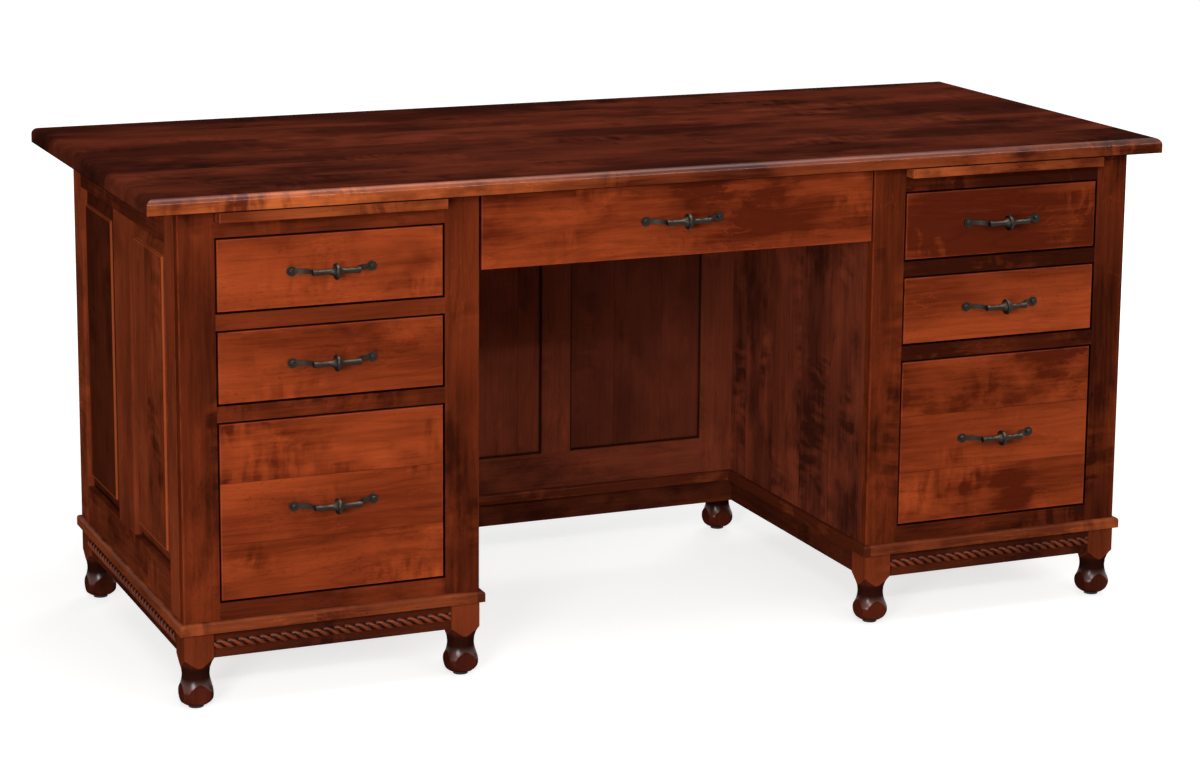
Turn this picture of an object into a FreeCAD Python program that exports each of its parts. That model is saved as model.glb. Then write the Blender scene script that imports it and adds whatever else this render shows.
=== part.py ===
import FreeCAD, Part
import Sketcher
import math
import os
import re

# An executive desk: two drawer pedestals on turned feet, a centre drawer over the kneehole, a writing
# board over each pedestal, framed ends with raised panels, and a rope-twist strip round the base.
# Millimetres. X runs to the right as the drawers are faced, Y to the visitor's side, Z up. The origin is
# on the floor, under the middle of the whole desk.

SIZES = [
    ("desk_width", 1676, "desktop, left to right"),
    ("desk_depth", 730, "desktop, front to back"),
    ("desk_height", 768, "floor to the writing surface"),
    ("top_thick", 24, "desktop slab"),
    ("top_edge_radius", 11, "rounding of the desktop's upper edge"),
    ("side_overhang", 49, "desktop past the ends"),
    ("front_overhang", 25, "desktop past the face frames"),
    ("back_overhang", 79, "desktop past the pedestals' backs"),
    ("pedestal_width", 460, "one pedestal, over its outer faces"),
    ("face_frame_thick", 20, "face frame, front to back"),
    ("stile_width", 55, "face-frame stile, seen from the front"),
    ("rail_height", 24, "face-frame rail between two openings"),
    ("bottom_rail_height", 43, "lowest rail of the face frame"),
    ("board_slot", 17, "slot for the writing board"),
    ("box_opening", 112, "opening of a box drawer"),
    ("centre_front_height", 113, "front of the centre drawer"),
    ("wall_thick", 22, "end, back and modesty frames"),
    ("end_stile", 48, "stile of an end frame"),
    ("end_mullion", 94, "mullion between the end panels"),
    ("back_stile", 56, "stile of a back frame"),
    ("top_rail", 56, "upper rail of the framed walls"),
    ("bottom_rail", 78, "lower rail of the framed walls"),
    ("modesty_depth", 505, "face of the desk to the modesty frame"),
    ("modesty_stile", 59, "stile of the modesty frame"),
    ("modesty_mullion", 52, "mullion of the modesty frame"),
    ("panel_back_set", 5, "inner face of a frame to the back of its panel"),
    ("tongue_thick", 6, "edge of a panel that sits in the groove"),
    ("tongue_depth", 9, "how far a panel reaches into its frame"),
    ("panel_bevel", 25, "width of a panel's sloped border"),
    ("panel_shoulder", 2.5, "step between the border and the raised field"),
    ("panel_sink", 1, "raised field below the face of the frame"),
    ("panel_play", 0.5, "panel to frame, along the frame"),
    ("tongue_play", 0.2, "tongue to groove, across the panel"),
    ("knee_panel_thick", 19, "plain panel beside the kneehole"),
    ("floor_thick", 16, "floor board of a pedestal"),
    ("foot_height", 117, "floor to the underside of the case"),
    ("mould_height", 17, "base moulding"),
    ("mould_projection", 7, "base moulding in front of the case"),
    ("mould_round", 5, "rounding of the moulding's upper edge"),
    ("apron_height", 40.5, "apron board below the case"),
    ("apron_thick", 18, "apron board, front to back"),
    ("apron_setback", 5, "apron behind the face of the case"),
    ("rope_radius", 7.5, "half the height of the rope strip"),
    ("rope_pitch", 16.4, "one strand to the next"),
    ("rope_valley", 2.5, "wood left under the cut between two strands"),
    ("rope_crest", 4, "width of the uncut crest of a strand"),
    ("rope_drop", 12.5, "case to the top of the rope strip"),
    ("foot_side", 45, "square stock of a foot"),
    ("foot_end_radius", 13.6, "lower end of a foot"),
    ("bulb_radius", 28, "bulb of a foot at its widest"),
    ("bulb_height", 22, "floor to the widest part of the bulb"),
    ("neck_radius", 20.4, "neck of a foot"),
    ("neck_height", 51.5, "floor to the neck"),
    ("cove_radius", 36, "hollow between the neck and the square"),
    ("turning_room", 2, "turned waste outside the corner of the square"),
    ("glide_height", 4, "glide under a foot"),
    ("glide_radius", 11.5, "glide under a foot"),
    ("drawer_gap", 3, "drawer front to the frame round it"),
    ("front_thick", 20, "drawer front"),
    ("front_ease", 1.5, "rounded edges of fronts and writing boards"),
    ("stile_ease", 3, "rounded outer corners of a face frame"),
    ("box_thick", 12, "sides, inner front and back of a drawer box"),
    ("bottom_thick", 6, "bottom of a drawer box"),
    ("bottom_groove", 6, "depth of the groove for the bottom"),
    ("bottom_lift", 10, "lower edge of the box to its bottom"),
    ("groove_play", 0.2, "bottom to its groove"),
    ("box_floor_room", 10, "opening to the lower edge of a box"),
    ("box_head_room", 18, "box drawer to the top of its opening"),
    ("file_head_room", 42, "file drawer to the top of its opening"),
    ("centre_head_room", 34, "centre drawer box to the desktop"),
    ("box_back_room", 66, "drawer box to the wall behind it"),
    ("hang_rail_height", 12, "hanging rail on a file drawer"),
    ("hang_rail_thick", 3, "hanging rail on a file drawer"),
    ("slide_space", 12.7, "room for a slide on each side of a drawer"),
    ("slide_steel", 1.4, "sheet of a slide member"),
    ("slide_tip", 1.2, "edge of a slide member to what it faces"),
    ("slide_play", 0.3, "slide member to slide member"),
    ("box_slide_height", 36, "two-part slide"),
    ("file_slide_height", 46, "three-part slide"),
    ("slide_front_gap", 2, "drawer front to its slides"),
    ("slide_back_room", 40, "slide to the wall behind it"),
    ("spacer_margin", 6, "spacer batten above and below a slide"),
    ("board_play", 0.3, "writing board to what it runs on and under"),
    ("board_side_play", 2, "writing board to the edges of its slot"),
    ("board_lip", 22, "writing board in front of the face frame"),
    ("board_back_room", 106, "writing board to the back frame"),
    ("runner_ledge", 12, "runner under the edge of a writing board"),
    ("stop_radius", 5, "stop dowel under a writing board"),
    ("stop_height", 8, "stop dowel under a writing board"),
    ("stop_inset", 110, "stop dowel from the back edge of the board"),
    ("pull_length", 137, "pull, tip to tip"),
    ("pull_axis", 24, "drawer face to the middle of the grip"),
    ("plate_length", 14, "spade plate of a pull"),
    ("plate_height", 15, "spade plate of a pull"),
    ("plate_thick", 2.5, "spade plate of a pull"),
    ("plate_curve", 8, "curved edges of the spade"),
    ("button_radius", 4, "button on the spade plate"),
    ("button_rise", 2.6, "button in front of its plate"),
    ("button_round", 2.2, "rounding of the button"),
    ("arm_width", 7, "flat arm between plate and grip"),
    ("arm_thick", 4.5, "flat arm between plate and grip"),
    ("arm_curve", 32, "bow of the arm"),
    ("grip_half", 36, "grip, from its middle to one end"),
    ("grip_end_radius", 4.6, "grip at its ends"),
    ("grip_waist_radius", 3.8, "grip at its thinnest"),
    ("waist_half", 15, "middle of the grip to its thinnest part"),
    ("trumpet_radius", 9, "grip where it meets the collar"),
    ("trumpet_curve", 15, "hollow flare towards the collar"),
    ("collar_radius", 12.5, "collar round the middle of the grip"),
    ("collar_thick", 5, "collar round the middle of the grip"),
    ("collar_rim", 4, "curve of the collar's rim"),
]

# Places that follow from the sizes above. Case lines are given for the right-hand pedestal.
PLACES = {
    "pull_reach": "pull_axis + collar_radius",
    "reach": "max(front_overhang; pull_reach)",
    "whole_depth": "desk_depth - front_overhang + reach",
    "face_y": "reach - whole_depth / 2",
    "frame_back": "face_y + face_frame_thick",
    "front_back": "face_y + front_thick",
    "case_back": "face_y + desk_depth - front_overhang - back_overhang",
    "inner_back": "case_back - wall_thick",
    "case_half": "desk_width / 2 - side_overhang",
    "knee_half": "case_half - pedestal_width",
    "wall_in": "case_half - wall_thick",
    "knee_in": "knee_half + knee_panel_thick",
    "opening_low": "knee_half + stile_width",
    "opening_high": "case_half - stile_width",
    "top_under": "desk_height - top_thick",
    "slot_low": "top_under - board_slot",
    "top_box_high": "slot_low - rail_height",
    "top_box_low": "top_box_high - box_opening",
    "middle_box_high": "top_box_low - rail_height",
    "middle_box_low": "middle_box_high - box_opening",
    "file_high": "middle_box_low - rail_height",
    "file_low": "foot_height + bottom_rail_height",
    "centre_low": "top_under - 2 * drawer_gap - centre_front_height",
    "mould_top": "foot_height + mould_height",
    "apron_low": "foot_height - apron_height",
    "modesty_front": "face_y + modesty_depth",
    "modesty_back": "modesty_front + wall_thick",
    "panel_height": "top_under - top_rail - foot_height - bottom_rail",
    "bevel_top": "wall_thick - panel_back_set - panel_sink - panel_shoulder",
    "field_top": "bevel_top + panel_shoulder",
    "rope_z": "foot_height - rope_drop - rope_radius",
    "bulb_in": "bulb_radius - foot_end_radius",
    "bulb_rise": "bulb_height - glide_height",
    "bulb_curve": "(bulb_in * bulb_in + bulb_rise * bulb_rise) / (2 * bulb_in)",
    "bulb_x": "bulb_radius - bulb_curve",
    "neck_x": "neck_radius - bulb_x",
    "neck_rise": "neck_height - bulb_height",
    "neck_curve": "(neck_x * neck_x + neck_rise * neck_rise - bulb_curve * bulb_curve)"
                  " / (2 * (bulb_curve - neck_x))",
    "join_share": "bulb_curve / (bulb_curve + neck_curve)",
    "join_x": "bulb_x + join_share * (neck_x + neck_curve)",
    "join_z": "bulb_height + join_share * neck_rise",
    "turned_out": "foot_side / sqrt(2) + turning_room",
    "cove_back": "cove_radius + neck_radius - turned_out",
    "cove_z": "neck_height + sqrt(cove_radius * cove_radius - cove_back * cove_back)",
    "plate_in": "pull_length / 2 - plate_length",
    "plate_mid": "pull_length / 2 - plate_length / 2",
    "rim_foot": "collar_radius - collar_rim"
                " + sqrt(collar_rim * collar_rim - collar_thick * collar_thick / 4)",
}

doc = FreeCAD.newDocument("executive_desk")
sheet = doc.addObject("Spreadsheet::Sheet", "Sizes")
for row, (alias, number, meaning) in enumerate(SIZES, start=1):
    sheet.set(f"A{row}", meaning)
    sheet.set(f"B{row}", str(number))
    sheet.setAlias(f"B{row}", alias)
doc.recompute()

ALIASES = {alias for alias, number, meaning in SIZES}
NODES = []


def formula(text):
    """Spell out a formula on named sizes and places as one on the cells of the sheet."""
    def spell(match):
        word = match.group(0)
        if word in PLACES:
            return f"({formula(PLACES[word])})"
        return f"Sizes.{word}" if word in ALIASES else word
    return re.sub(r"[a-z][a-z_]*", spell, text)


def value(text):
    return float(sheet.evalExpression(formula(text)))


def bind(thing, prop, text):
    thing.setExpression(prop, formula(text))


def bind_place(thing, x="0", y="0", z="0"):
    for axis, text in (("x", x), ("y", y), ("z", z)):
        bind(thing, f"Placement.Base.{axis}", text)


def node(label, *pieces):
    """Name a finished piece, or a group of separate pieces that share one node."""
    piece = pieces[0]
    if len(pieces) > 1:
        piece = doc.addObject("Part::Compound", label)
        piece.Links = list(pieces)
    piece.Label = label
    NODES.append(piece)
    return piece


def sided(side, span):
    """Mirror an X span of the right-hand side to the left where that is asked for."""
    low, high = span
    return (low, high) if side == "right" else (f"-({high})", f"-({low})")


def board(name, x, y, z):
    """A squared board between two limits along each axis."""
    box = doc.addObject("Part::Box", name)
    for size, (low, high) in (("Length", x), ("Width", y), ("Height", z)):
        bind(box, size, f"({high}) - ({low})")
    bind_place(box, x[0], y[0], z[0])
    return box


def cut(name, base, tool):
    piece = doc.addObject("Part::Cut", name)
    piece.Base = base
    piece.Tool = tool
    return piece


def group(name, pieces):
    bundle = doc.addObject("Part::Compound", name)
    bundle.Links = list(pieces)
    return bundle


def moved(name, source, x, y, z, turn=0):
    """A copy of a piece, turned about the vertical and set at a place."""
    copy = group(name, [source])
    copy.Placement = FreeCAD.Placement(FreeCAD.Vector(), FreeCAD.Rotation(FreeCAD.Vector(0, 0, 1), turn))
    bind_place(copy, x, y, z)
    return copy


def new_sketch(body, name, role):
    plane = next(item for item in body.Origin.OriginFeatures if item.Role == role)
    sketch = body.newObject("Sketcher::SketchObject", name)
    sketch.AttachmentSupport = [(plane, "")]
    sketch.MapMode = "FlatFace"
    return sketch


def draw(sketch, corners):
    """Draw a closed outline whose corners and radii follow the sheet.

    Each corner is (x, y) and starts a straight edge, or (x, y, radius, side) and starts an arc that bulges
    to the left (1) or the right (-1) of the way to the next corner.
    """
    points = [FreeCAD.Vector(value(corner[0]), value(corner[1]), 0) for corner in corners]
    first = sketch.GeometryCount
    starts, ends = [], []
    for index, corner in enumerate(corners):
        start, end = points[index], points[(index + 1) % len(points)]
        if len(corner) == 2:
            sketch.addGeometry(Part.LineSegment(start, end))
            starts.append(1)
            ends.append(2)
            continue
        radius, bulge = value(corner[2]), corner[3]
        chord = end - start
        left = FreeCAD.Vector(-chord.y, chord.x, 0).normalize()
        height = math.sqrt(radius ** 2 - (chord.Length / 2) ** 2)
        centre = (start + end) / 2 - left * bulge * height
        angles = [math.atan2(point.y - centre.y, point.x - centre.x) for point in (start, end)]
        if bulge > 0:
            angles.reverse()
        circle = Part.Circle(centre, FreeCAD.Vector(0, 0, 1), radius)
        arc = sketch.addGeometry(Part.ArcOfCircle(circle, *angles))
        starts.append(2 if bulge > 0 else 1)
        ends.append(1 if bulge > 0 else 2)
        size = sketch.addConstraint(Sketcher.Constraint("Radius", arc, radius))
        bind(sketch, f"Constraints[{size}]", corner[2])
    for index, corner in enumerate(corners):
        after = (index + 1) % len(corners)
        sketch.addConstraint(
            Sketcher.Constraint("Coincident", first + index, ends[index], first + after, starts[after]))
        for kind, text in (("DistanceX", corner[0]), ("DistanceY", corner[1])):
            pin = sketch.addConstraint(Sketcher.Constraint(kind, first + index, starts[index], value(text)))
            bind(sketch, f"Constraints[{pin}]", text)


def rectangle(x, y):
    return [(x[0], y[0]), (x[1], y[0]), (x[1], y[1]), (x[0], y[1])]


def pad(body, sketch, length, both_ways=False):
    feature = body.newObject("PartDesign::Pad", "Pad")
    feature.Profile = sketch
    bind(feature, "Length", length)
    feature.SideType = "Symmetric" if both_ways else "One side"
    doc.recompute()
    return feature


def fillet(body, base, radius, wanted):
    """Round the edges of a feature whose two ends both satisfy a test."""
    names = [f"Edge{number}" for number, edge in enumerate(base.Shape.Edges, start=1)
             if all(wanted(vertex.Point) for vertex in edge.Vertexes)]
    feature = body.newObject("PartDesign::Fillet", "Fillet")
    feature.Base = (base, names)
    bind(feature, "Radius", radius)
    doc.recompute()
    return feature


def near(number, text):
    return abs(number - value(text)) < 1e-4


def eased_board(name, x, y, z, ease="front_ease", corner=None):
    """A board whose front edges, or only the upright one at the given corner, are rounded over."""
    body = doc.addObject("PartDesign::Body", name)
    sketch = new_sketch(body, "Outline", "XZ_Plane")
    draw(sketch, rectangle(x, z))
    thick = f"({y[1]}) - ({y[0]})"
    slab = pad(body, sketch, thick)
    bind_place(body, y=y[1])
    fillet(body, slab, ease,
           lambda point: near(point.y, f"-({thick})") and (corner is None or near(point.x, corner)))
    return body


# Desktop: one glued-up slab, its upper edge rounded all round.
def desktop():
    body = doc.addObject("PartDesign::Body", "desktop")
    sketch = new_sketch(body, "Outline", "XY_Plane")
    front = "face_y - front_overhang"
    draw(sketch, rectangle(("-desk_width / 2", "desk_width / 2"), (front, f"{front} + desk_depth")))
    slab = pad(body, sketch, "top_thick")
    bind_place(body, z="top_under")
    fillet(body, slab, "top_edge_radius", lambda point: near(point.z, "top_thick"))
    node("desktop", body)


# Face frame: two stiles over the whole height and four rails between them.
def face_frame(side):
    depth = ("face_y", "frame_back")
    pieces = []
    height = ("foot_height", "top_under")
    stiles = (("knee_stile", ("knee_half", "opening_low"), "knee_half"),
              ("end_stile", ("opening_high", "case_half"), "case_half"))
    for name, x, outer in stiles:
        corner = sided(side, (outer, outer))[0]
        pieces.append(eased_board(f"{side}_{name}", sided(side, x), depth, height, "stile_ease", corner))
    rails = (("foot_height", "file_low"), ("file_high", "middle_box_low"),
             ("middle_box_high", "top_box_low"), ("top_box_high", "slot_low"))
    for z in rails:
        pieces.append(board(f"{side}_rail", sided(side, ("opening_low", "opening_high")), depth, z))
    node(f"{side}_face_frame", *pieces)


# Framed wall: grooved stiles, rails and mullion. The spot function turns a span along the wall and a span
# through it into X and Y spans. The openings between the members come back with the pieces.
def framed_wall(name, spot, along, through, stile, mullion=None):
    low, high = along
    inner, outer = through
    inner_low, inner_high = f"{low} + {stile}", f"{high} - {stile}"
    z_low, z_high = "foot_height + bottom_rail", "top_under - top_rail"
    openings = [(inner_low, inner_high)]
    if mullion:
        middle = f"(({low}) + ({high})) / 2"
        openings = [(inner_low, f"{middle} - {mullion} / 2"), (f"{middle} + {mullion} / 2", inner_high)]
    grow = "tongue_depth + panel_play"
    tongue = f"{inner} + panel_back_set"
    grooves = group(f"{name}_grooves", [
        board(f"{name}_groove",
              *spot((f"{start} - ({grow})", f"{end} + {grow}"),
                    (f"{tongue} - tongue_play", f"{tongue} + tongue_thick + tongue_play")),
              (f"{z_low} - ({grow})", f"{z_high} + {grow}"))
        for start, end in openings])
    members = [
        ("low_stile", (low, inner_low), ("foot_height", "top_under")),
        ("high_stile", (inner_high, high), ("foot_height", "top_under")),
        ("lower_rail", (inner_low, inner_high), ("foot_height", z_low)),
        ("upper_rail", (inner_low, inner_high), (z_high, "top_under")),
    ]
    if mullion:
        members.append(("mullion", (openings[0][1], openings[1][0]), (z_low, z_high)))
    pieces = []
    for part, span, z in members:
        blank = board(f"{name}_{part}_blank", *spot(span, through), z)
        pieces.append(cut(f"{name}_{part}", blank, grooves))
    return pieces, openings


# Raised panel, in a frame of its own whose Y points out of the wall: a tongue all round, a sloped border
# and a raised field with a small shoulder.
def raised_panel(name, width, x, y, turn=0):
    wide, tall = f"({width})", "panel_height"
    tongue = board(f"{name}_tongue", ("-tongue_depth", f"{wide} + tongue_depth"), ("0", "tongue_thick"),
                   ("-tongue_depth", f"{tall} + tongue_depth"))
    border = doc.addObject("Part::Wedge", f"{name}_border")
    for prop, text in (("Ymin", "tongue_thick"), ("Ymax", "bevel_top"),
                       ("Xmin", "panel_play"), ("Xmax", f"{wide} - panel_play"),
                       ("Zmin", "panel_play"), ("Zmax", f"{tall} - panel_play"),
                       ("X2min", "panel_bevel"), ("X2max", f"{wide} - panel_bevel"),
                       ("Z2min", "panel_bevel"), ("Z2max", f"{tall} - panel_bevel")):
        bind(border, prop, text)
    field = board(f"{name}_field", ("panel_bevel", f"{wide} - panel_bevel"), ("bevel_top", "field_top"),
                  ("panel_bevel", f"{tall} - panel_bevel"))
    panel = doc.addObject("Part::MultiFuse", name)
    panel.Shapes = [tongue, border, field]
    return moved(f"{name}_set", panel, x, y, "foot_height + bottom_rail", turn)


# End of a pedestal: a framed wall with two raised panels that face outwards.
def end_wall(side):
    def spot(along, through):
        return sided(side, through), along

    pieces, openings = framed_wall(f"{side}_end", spot, ("frame_back", "case_back"),
                                   ("wall_in", "case_half"), "end_stile", "end_mullion")
    node(f"{side}_end_frame", *pieces)
    panels = []
    for number, (start, end) in enumerate(openings):
        x, y, turn = ("wall_in + panel_back_set", end, -90)
        if side == "left":
            x, y, turn = (f"-({x})", start, 90)
        panels.append(raised_panel(f"{side}_end_panel_{number}", f"({end}) - ({start})", x, y, turn))
    node(f"{side}_end_panels", *panels)


# Backs of the pedestals: a framed wall with one raised panel each, between the end and the knee panel.
def back_walls():
    frames, panels = [], []
    for side in ("left", "right"):
        def spot(along, through):
            return sided(side, along), through

        pieces, openings = framed_wall(f"{side}_back", spot, ("knee_in", "wall_in"),
                                       ("inner_back", "case_back"), "back_stile")
        frames += pieces
        start, end = sided(side, openings[0])
        panels.append(raised_panel(f"{side}_back_panel", f"({end}) - ({start})", start,
                                   "inner_back + panel_back_set"))
    node("back_frames", *frames)
    node("back_panels", *panels)


# Modesty wall: a framed wall between the pedestals, flat to the kneehole and raised to the visitor.
def modesty_wall():
    def spot(along, through):
        return along, through

    pieces, openings = framed_wall("modesty", spot, ("-(knee_half)", "knee_half"),
                                   ("modesty_front", "modesty_back"), "modesty_stile", "modesty_mullion")
    node("modesty_frame", *pieces)
    panels = [raised_panel(f"modesty_panel_{number}", f"({end}) - ({start})", start,
                           "modesty_front + panel_back_set")
              for number, (start, end) in enumerate(openings)]
    node("modesty_panels", *panels)


# Plain inner boards: the knee panels, the floors, and the cleats and runners beside the writing boards.
def inner_boards():
    whole = ("frame_back", "inner_back")
    knees, floors, cleats, runners = [], [], [], []
    for side in ("left", "right"):
        knees.append(board(f"{side}_knee_panel", sided(side, ("knee_half", "knee_in")),
                           ("frame_back", "case_back"), ("foot_height", "top_under")))
        floors.append(board(f"{side}_floor", sided(side, ("knee_in", "wall_in")), whole,
                            ("mould_top", "mould_top + floor_thick")))
        for x in (("knee_in", "opening_low"), ("opening_high", "wall_in")):
            cleats.append(board(f"{side}_cleat", sided(side, x), whole, ("slot_low", "top_under")))
        for x in (("knee_in", "opening_low + runner_ledge"), ("opening_high - runner_ledge", "wall_in")):
            runners.append(board(f"{side}_runner", sided(side, x), whole, ("top_box_high", "slot_low")))
    node("knee_panels", *knees)
    node("pedestal_floors", *floors)
    node("top_cleats", *cleats)
    node("writing_board_runners", *runners)


# Base moulding: mitred sticks with a rounded upper edge. The plan of a stick is its two corners on the
# case, then the two corners of its front, from the second end back to the first.
def stick(name, side, plan):
    plan = [(sided(side, (x, x))[0], y) for x, y in plan]
    body = doc.addObject("PartDesign::Body", name)
    sketch = new_sketch(body, "Plan", "XY_Plane")
    draw(sketch, plan)
    block = pad(body, sketch, "mould_height")
    bind_place(body, z="foot_height")

    def on_front_edge(point):
        at_corner = any(near(point.x, x) and near(point.y, y) for x, y in plan[2:])
        return at_corner and near(point.z, "mould_height")

    fillet(body, block, "mould_round", on_front_edge)
    return body


def pedestal_mouldings(side):
    out_x, in_x = "case_half + mould_projection", "knee_half - mould_projection"
    front, back = "face_y - mould_projection", "case_back + mould_projection"
    near_y, far_y = "modesty_front - mould_projection", "modesty_back + mould_projection"
    plans = {
        "front": [("knee_half", "face_y"), ("case_half", "face_y"), (out_x, front), (in_x, front)],
        "end": [("case_half", "face_y"), ("case_half", "case_back"), (out_x, back), (out_x, front)],
        "back": [("case_half", "case_back"), ("knee_half", "case_back"), (in_x, back), (out_x, back)],
        "knee": [("knee_half", "modesty_front"), ("knee_half", "face_y"), (in_x, front), (in_x, near_y)],
        "rear_knee": [("knee_half", "case_back"), ("knee_half", "modesty_back"),
                      (in_x, far_y), (in_x, back)],
    }
    sticks = [stick(f"{side}_{name}_moulding", side, plan) for name, plan in plans.items()]
    node(f"{side}_base_moulding", *sticks)


def rear_moulding():
    ends = ("-(knee_half)", "knee_half")
    fronts = ("mould_projection - (knee_half)", "knee_half - mould_projection")
    sticks = []
    for name, on_case, proud in (("near", "modesty_front", "modesty_front - mould_projection"),
                                 ("far", "modesty_back", "modesty_back + mould_projection")):
        plan = [(ends[0], on_case), (ends[1], on_case), (fronts[1], proud), (fronts[0], proud)]
        sticks.append(stick(f"{name}_rear_moulding", "right", plan))
    node("rear_base_moulding", *sticks)


# Aprons: plain boards between the feet, a little behind the faces of the case.
def aprons():
    z = ("apron_low", "foot_height")
    between_x = ("knee_half + foot_side", "case_half - foot_side")
    between_y = ("face_y + foot_side", "case_back - foot_side")
    into = "apron_setback + apron_thick"
    for side in ("left", "right"):
        node(f"{side}_aprons",
             board(f"{side}_front_apron", sided(side, between_x),
                   ("face_y + apron_setback", f"face_y + {into}"), z),
             board(f"{side}_back_apron", sided(side, between_x),
                   (f"case_back - ({into})", "case_back - apron_setback"), z),
             board(f"{side}_end_apron", sided(side, (f"case_half - ({into})", "case_half - apron_setback")),
                   between_y, z),
             board(f"{side}_knee_apron", sided(side, ("knee_half + apron_setback", f"knee_half + {into}")),
                   between_y, z))
    node("rear_apron", board("rear_apron", ("-(knee_half + apron_setback)", "knee_half + apron_setback"),
                             ("modesty_front + apron_setback", f"modesty_front + {into}"), z))


# Rope strip, lying along X with its flat back at Y = 0: a rounded bar, then one leaning V cut between two
# strands, repeated along the bar.
def rope_strip(name, length):
    body = doc.addObject("PartDesign::Body", name)
    profile = new_sketch(body, "Profile", "YZ_Plane")
    steps = 5
    turns = [math.pi * step / steps for step in range(steps + 1)]
    draw(profile, [(f"-rope_radius * {math.sin(turn):.6f}", f"rope_radius * {math.cos(turn):.6f}")
                   for turn in turns])
    pad(body, profile, length)
    valley = new_sketch(body, "Valley", "XY_Plane")
    outside = "-(rope_radius + rope_valley)"
    widen = "rope_valley * (rope_pitch - rope_crest) / (2 * (rope_radius - rope_valley))"
    draw(valley, [(f"rope_crest / 2 - {widen}", outside),
                  (f"rope_pitch - rope_crest / 2 + {widen}", outside),
                  ("rope_pitch / 2", "-rope_valley")])
    lay = body.newObject("PartDesign::Pocket", "Lay")
    lay.Profile = valley
    lay.UseCustomVector = True
    lay.Direction = FreeCAD.Vector(-1, 0, 1)
    lay.AlongSketchNormal = True
    lay.SideType = "Symmetric"
    bind(lay, "Length", "4 * rope_radius")
    doc.recompute()
    before = lay.Shape.Volume
    repeat = body.newObject("PartDesign::LinearPattern", "Strands")
    repeat.Originals = [lay]
    repeat.Direction = (profile, ["N_Axis"])
    count = f"floor(({length}) / rope_pitch)"
    bind(repeat, "Occurrences", count)
    bind(repeat, "Length", f"({count} - 1) * rope_pitch")
    body.Tip = repeat
    doc.recompute()
    if repeat.Shape.Volume > before * 0.95:
        raise RuntimeError(f"the strands of {name} are not cut")
    return body


def rope_mouldings():
    front = rope_strip("front_rope", "pedestal_width - 2 * foot_side")
    end = rope_strip("end_rope", "case_back - (face_y) - 2 * foot_side")
    face = "face_y + apron_setback"
    outer = "case_half - apron_setback"
    node("rope_mouldings",
         moved("left_front_rope", front, "foot_side - (case_half)", face, "rope_z"),
         moved("right_front_rope", front, "knee_half + foot_side", face, "rope_z"),
         moved("left_end_rope", end, f"-({outer})", "case_back - foot_side", "rope_z", -90),
         moved("right_end_rope", end, outer, "face_y + foot_side", "rope_z", 90))


# Foot: a square blank turned below its block. The waste is turned away, so the flats end in rounded points
# above the neck and again as small arches on the bulb.
def turned_foot():
    body = doc.addObject("PartDesign::Body", "foot")
    square = new_sketch(body, "Square", "XY_Plane")
    half = ("-foot_side / 2", "foot_side / 2")
    draw(square, rectangle(half, half))
    bind(square, "AttachmentOffset.Base.z", "glide_height")
    blank = pad(body, square, "foot_height - glide_height")
    waste = new_sketch(body, "Waste", "XZ_Plane")
    draw(waste, [("foot_end_radius", "glide_height", "bulb_curve", -1),
                 ("join_x", "join_z", "neck_curve", 1),
                 ("neck_radius", "neck_height", "cove_radius", 1),
                 ("turned_out", "cove_z"),
                 ("turned_out", "glide_height")])
    turning = body.newObject("PartDesign::Groove", "Turning")
    turning.Profile = waste
    turning.ReferenceAxis = (waste, ["V_Axis"])
    turning.Angle = 360
    doc.recompute()
    if turning.Shape.Volume > blank.Shape.Volume * 0.9:
        raise RuntimeError("the foot is not turned")
    return body


def feet():
    foot = turned_foot()
    blocks, glides = [], []
    inset = "foot_side / 2"
    for side in ("left", "right"):
        for x in (f"knee_half + {inset}", f"case_half - {inset}"):
            for y in (f"face_y + {inset}", f"case_back - {inset}"):
                place = sided(side, (x, x))[0]
                blocks.append(moved(f"{side}_foot", foot, place, y, "0"))
                glide = doc.addObject("Part::Cylinder", f"{side}_glide")
                bind(glide, "Radius", "glide_radius")
                bind(glide, "Height", "glide_height")
                bind_place(glide, place, y, "0")
                glides.append(glide)
    node("feet", *blocks)
    node("foot_glides", *glides)


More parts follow.
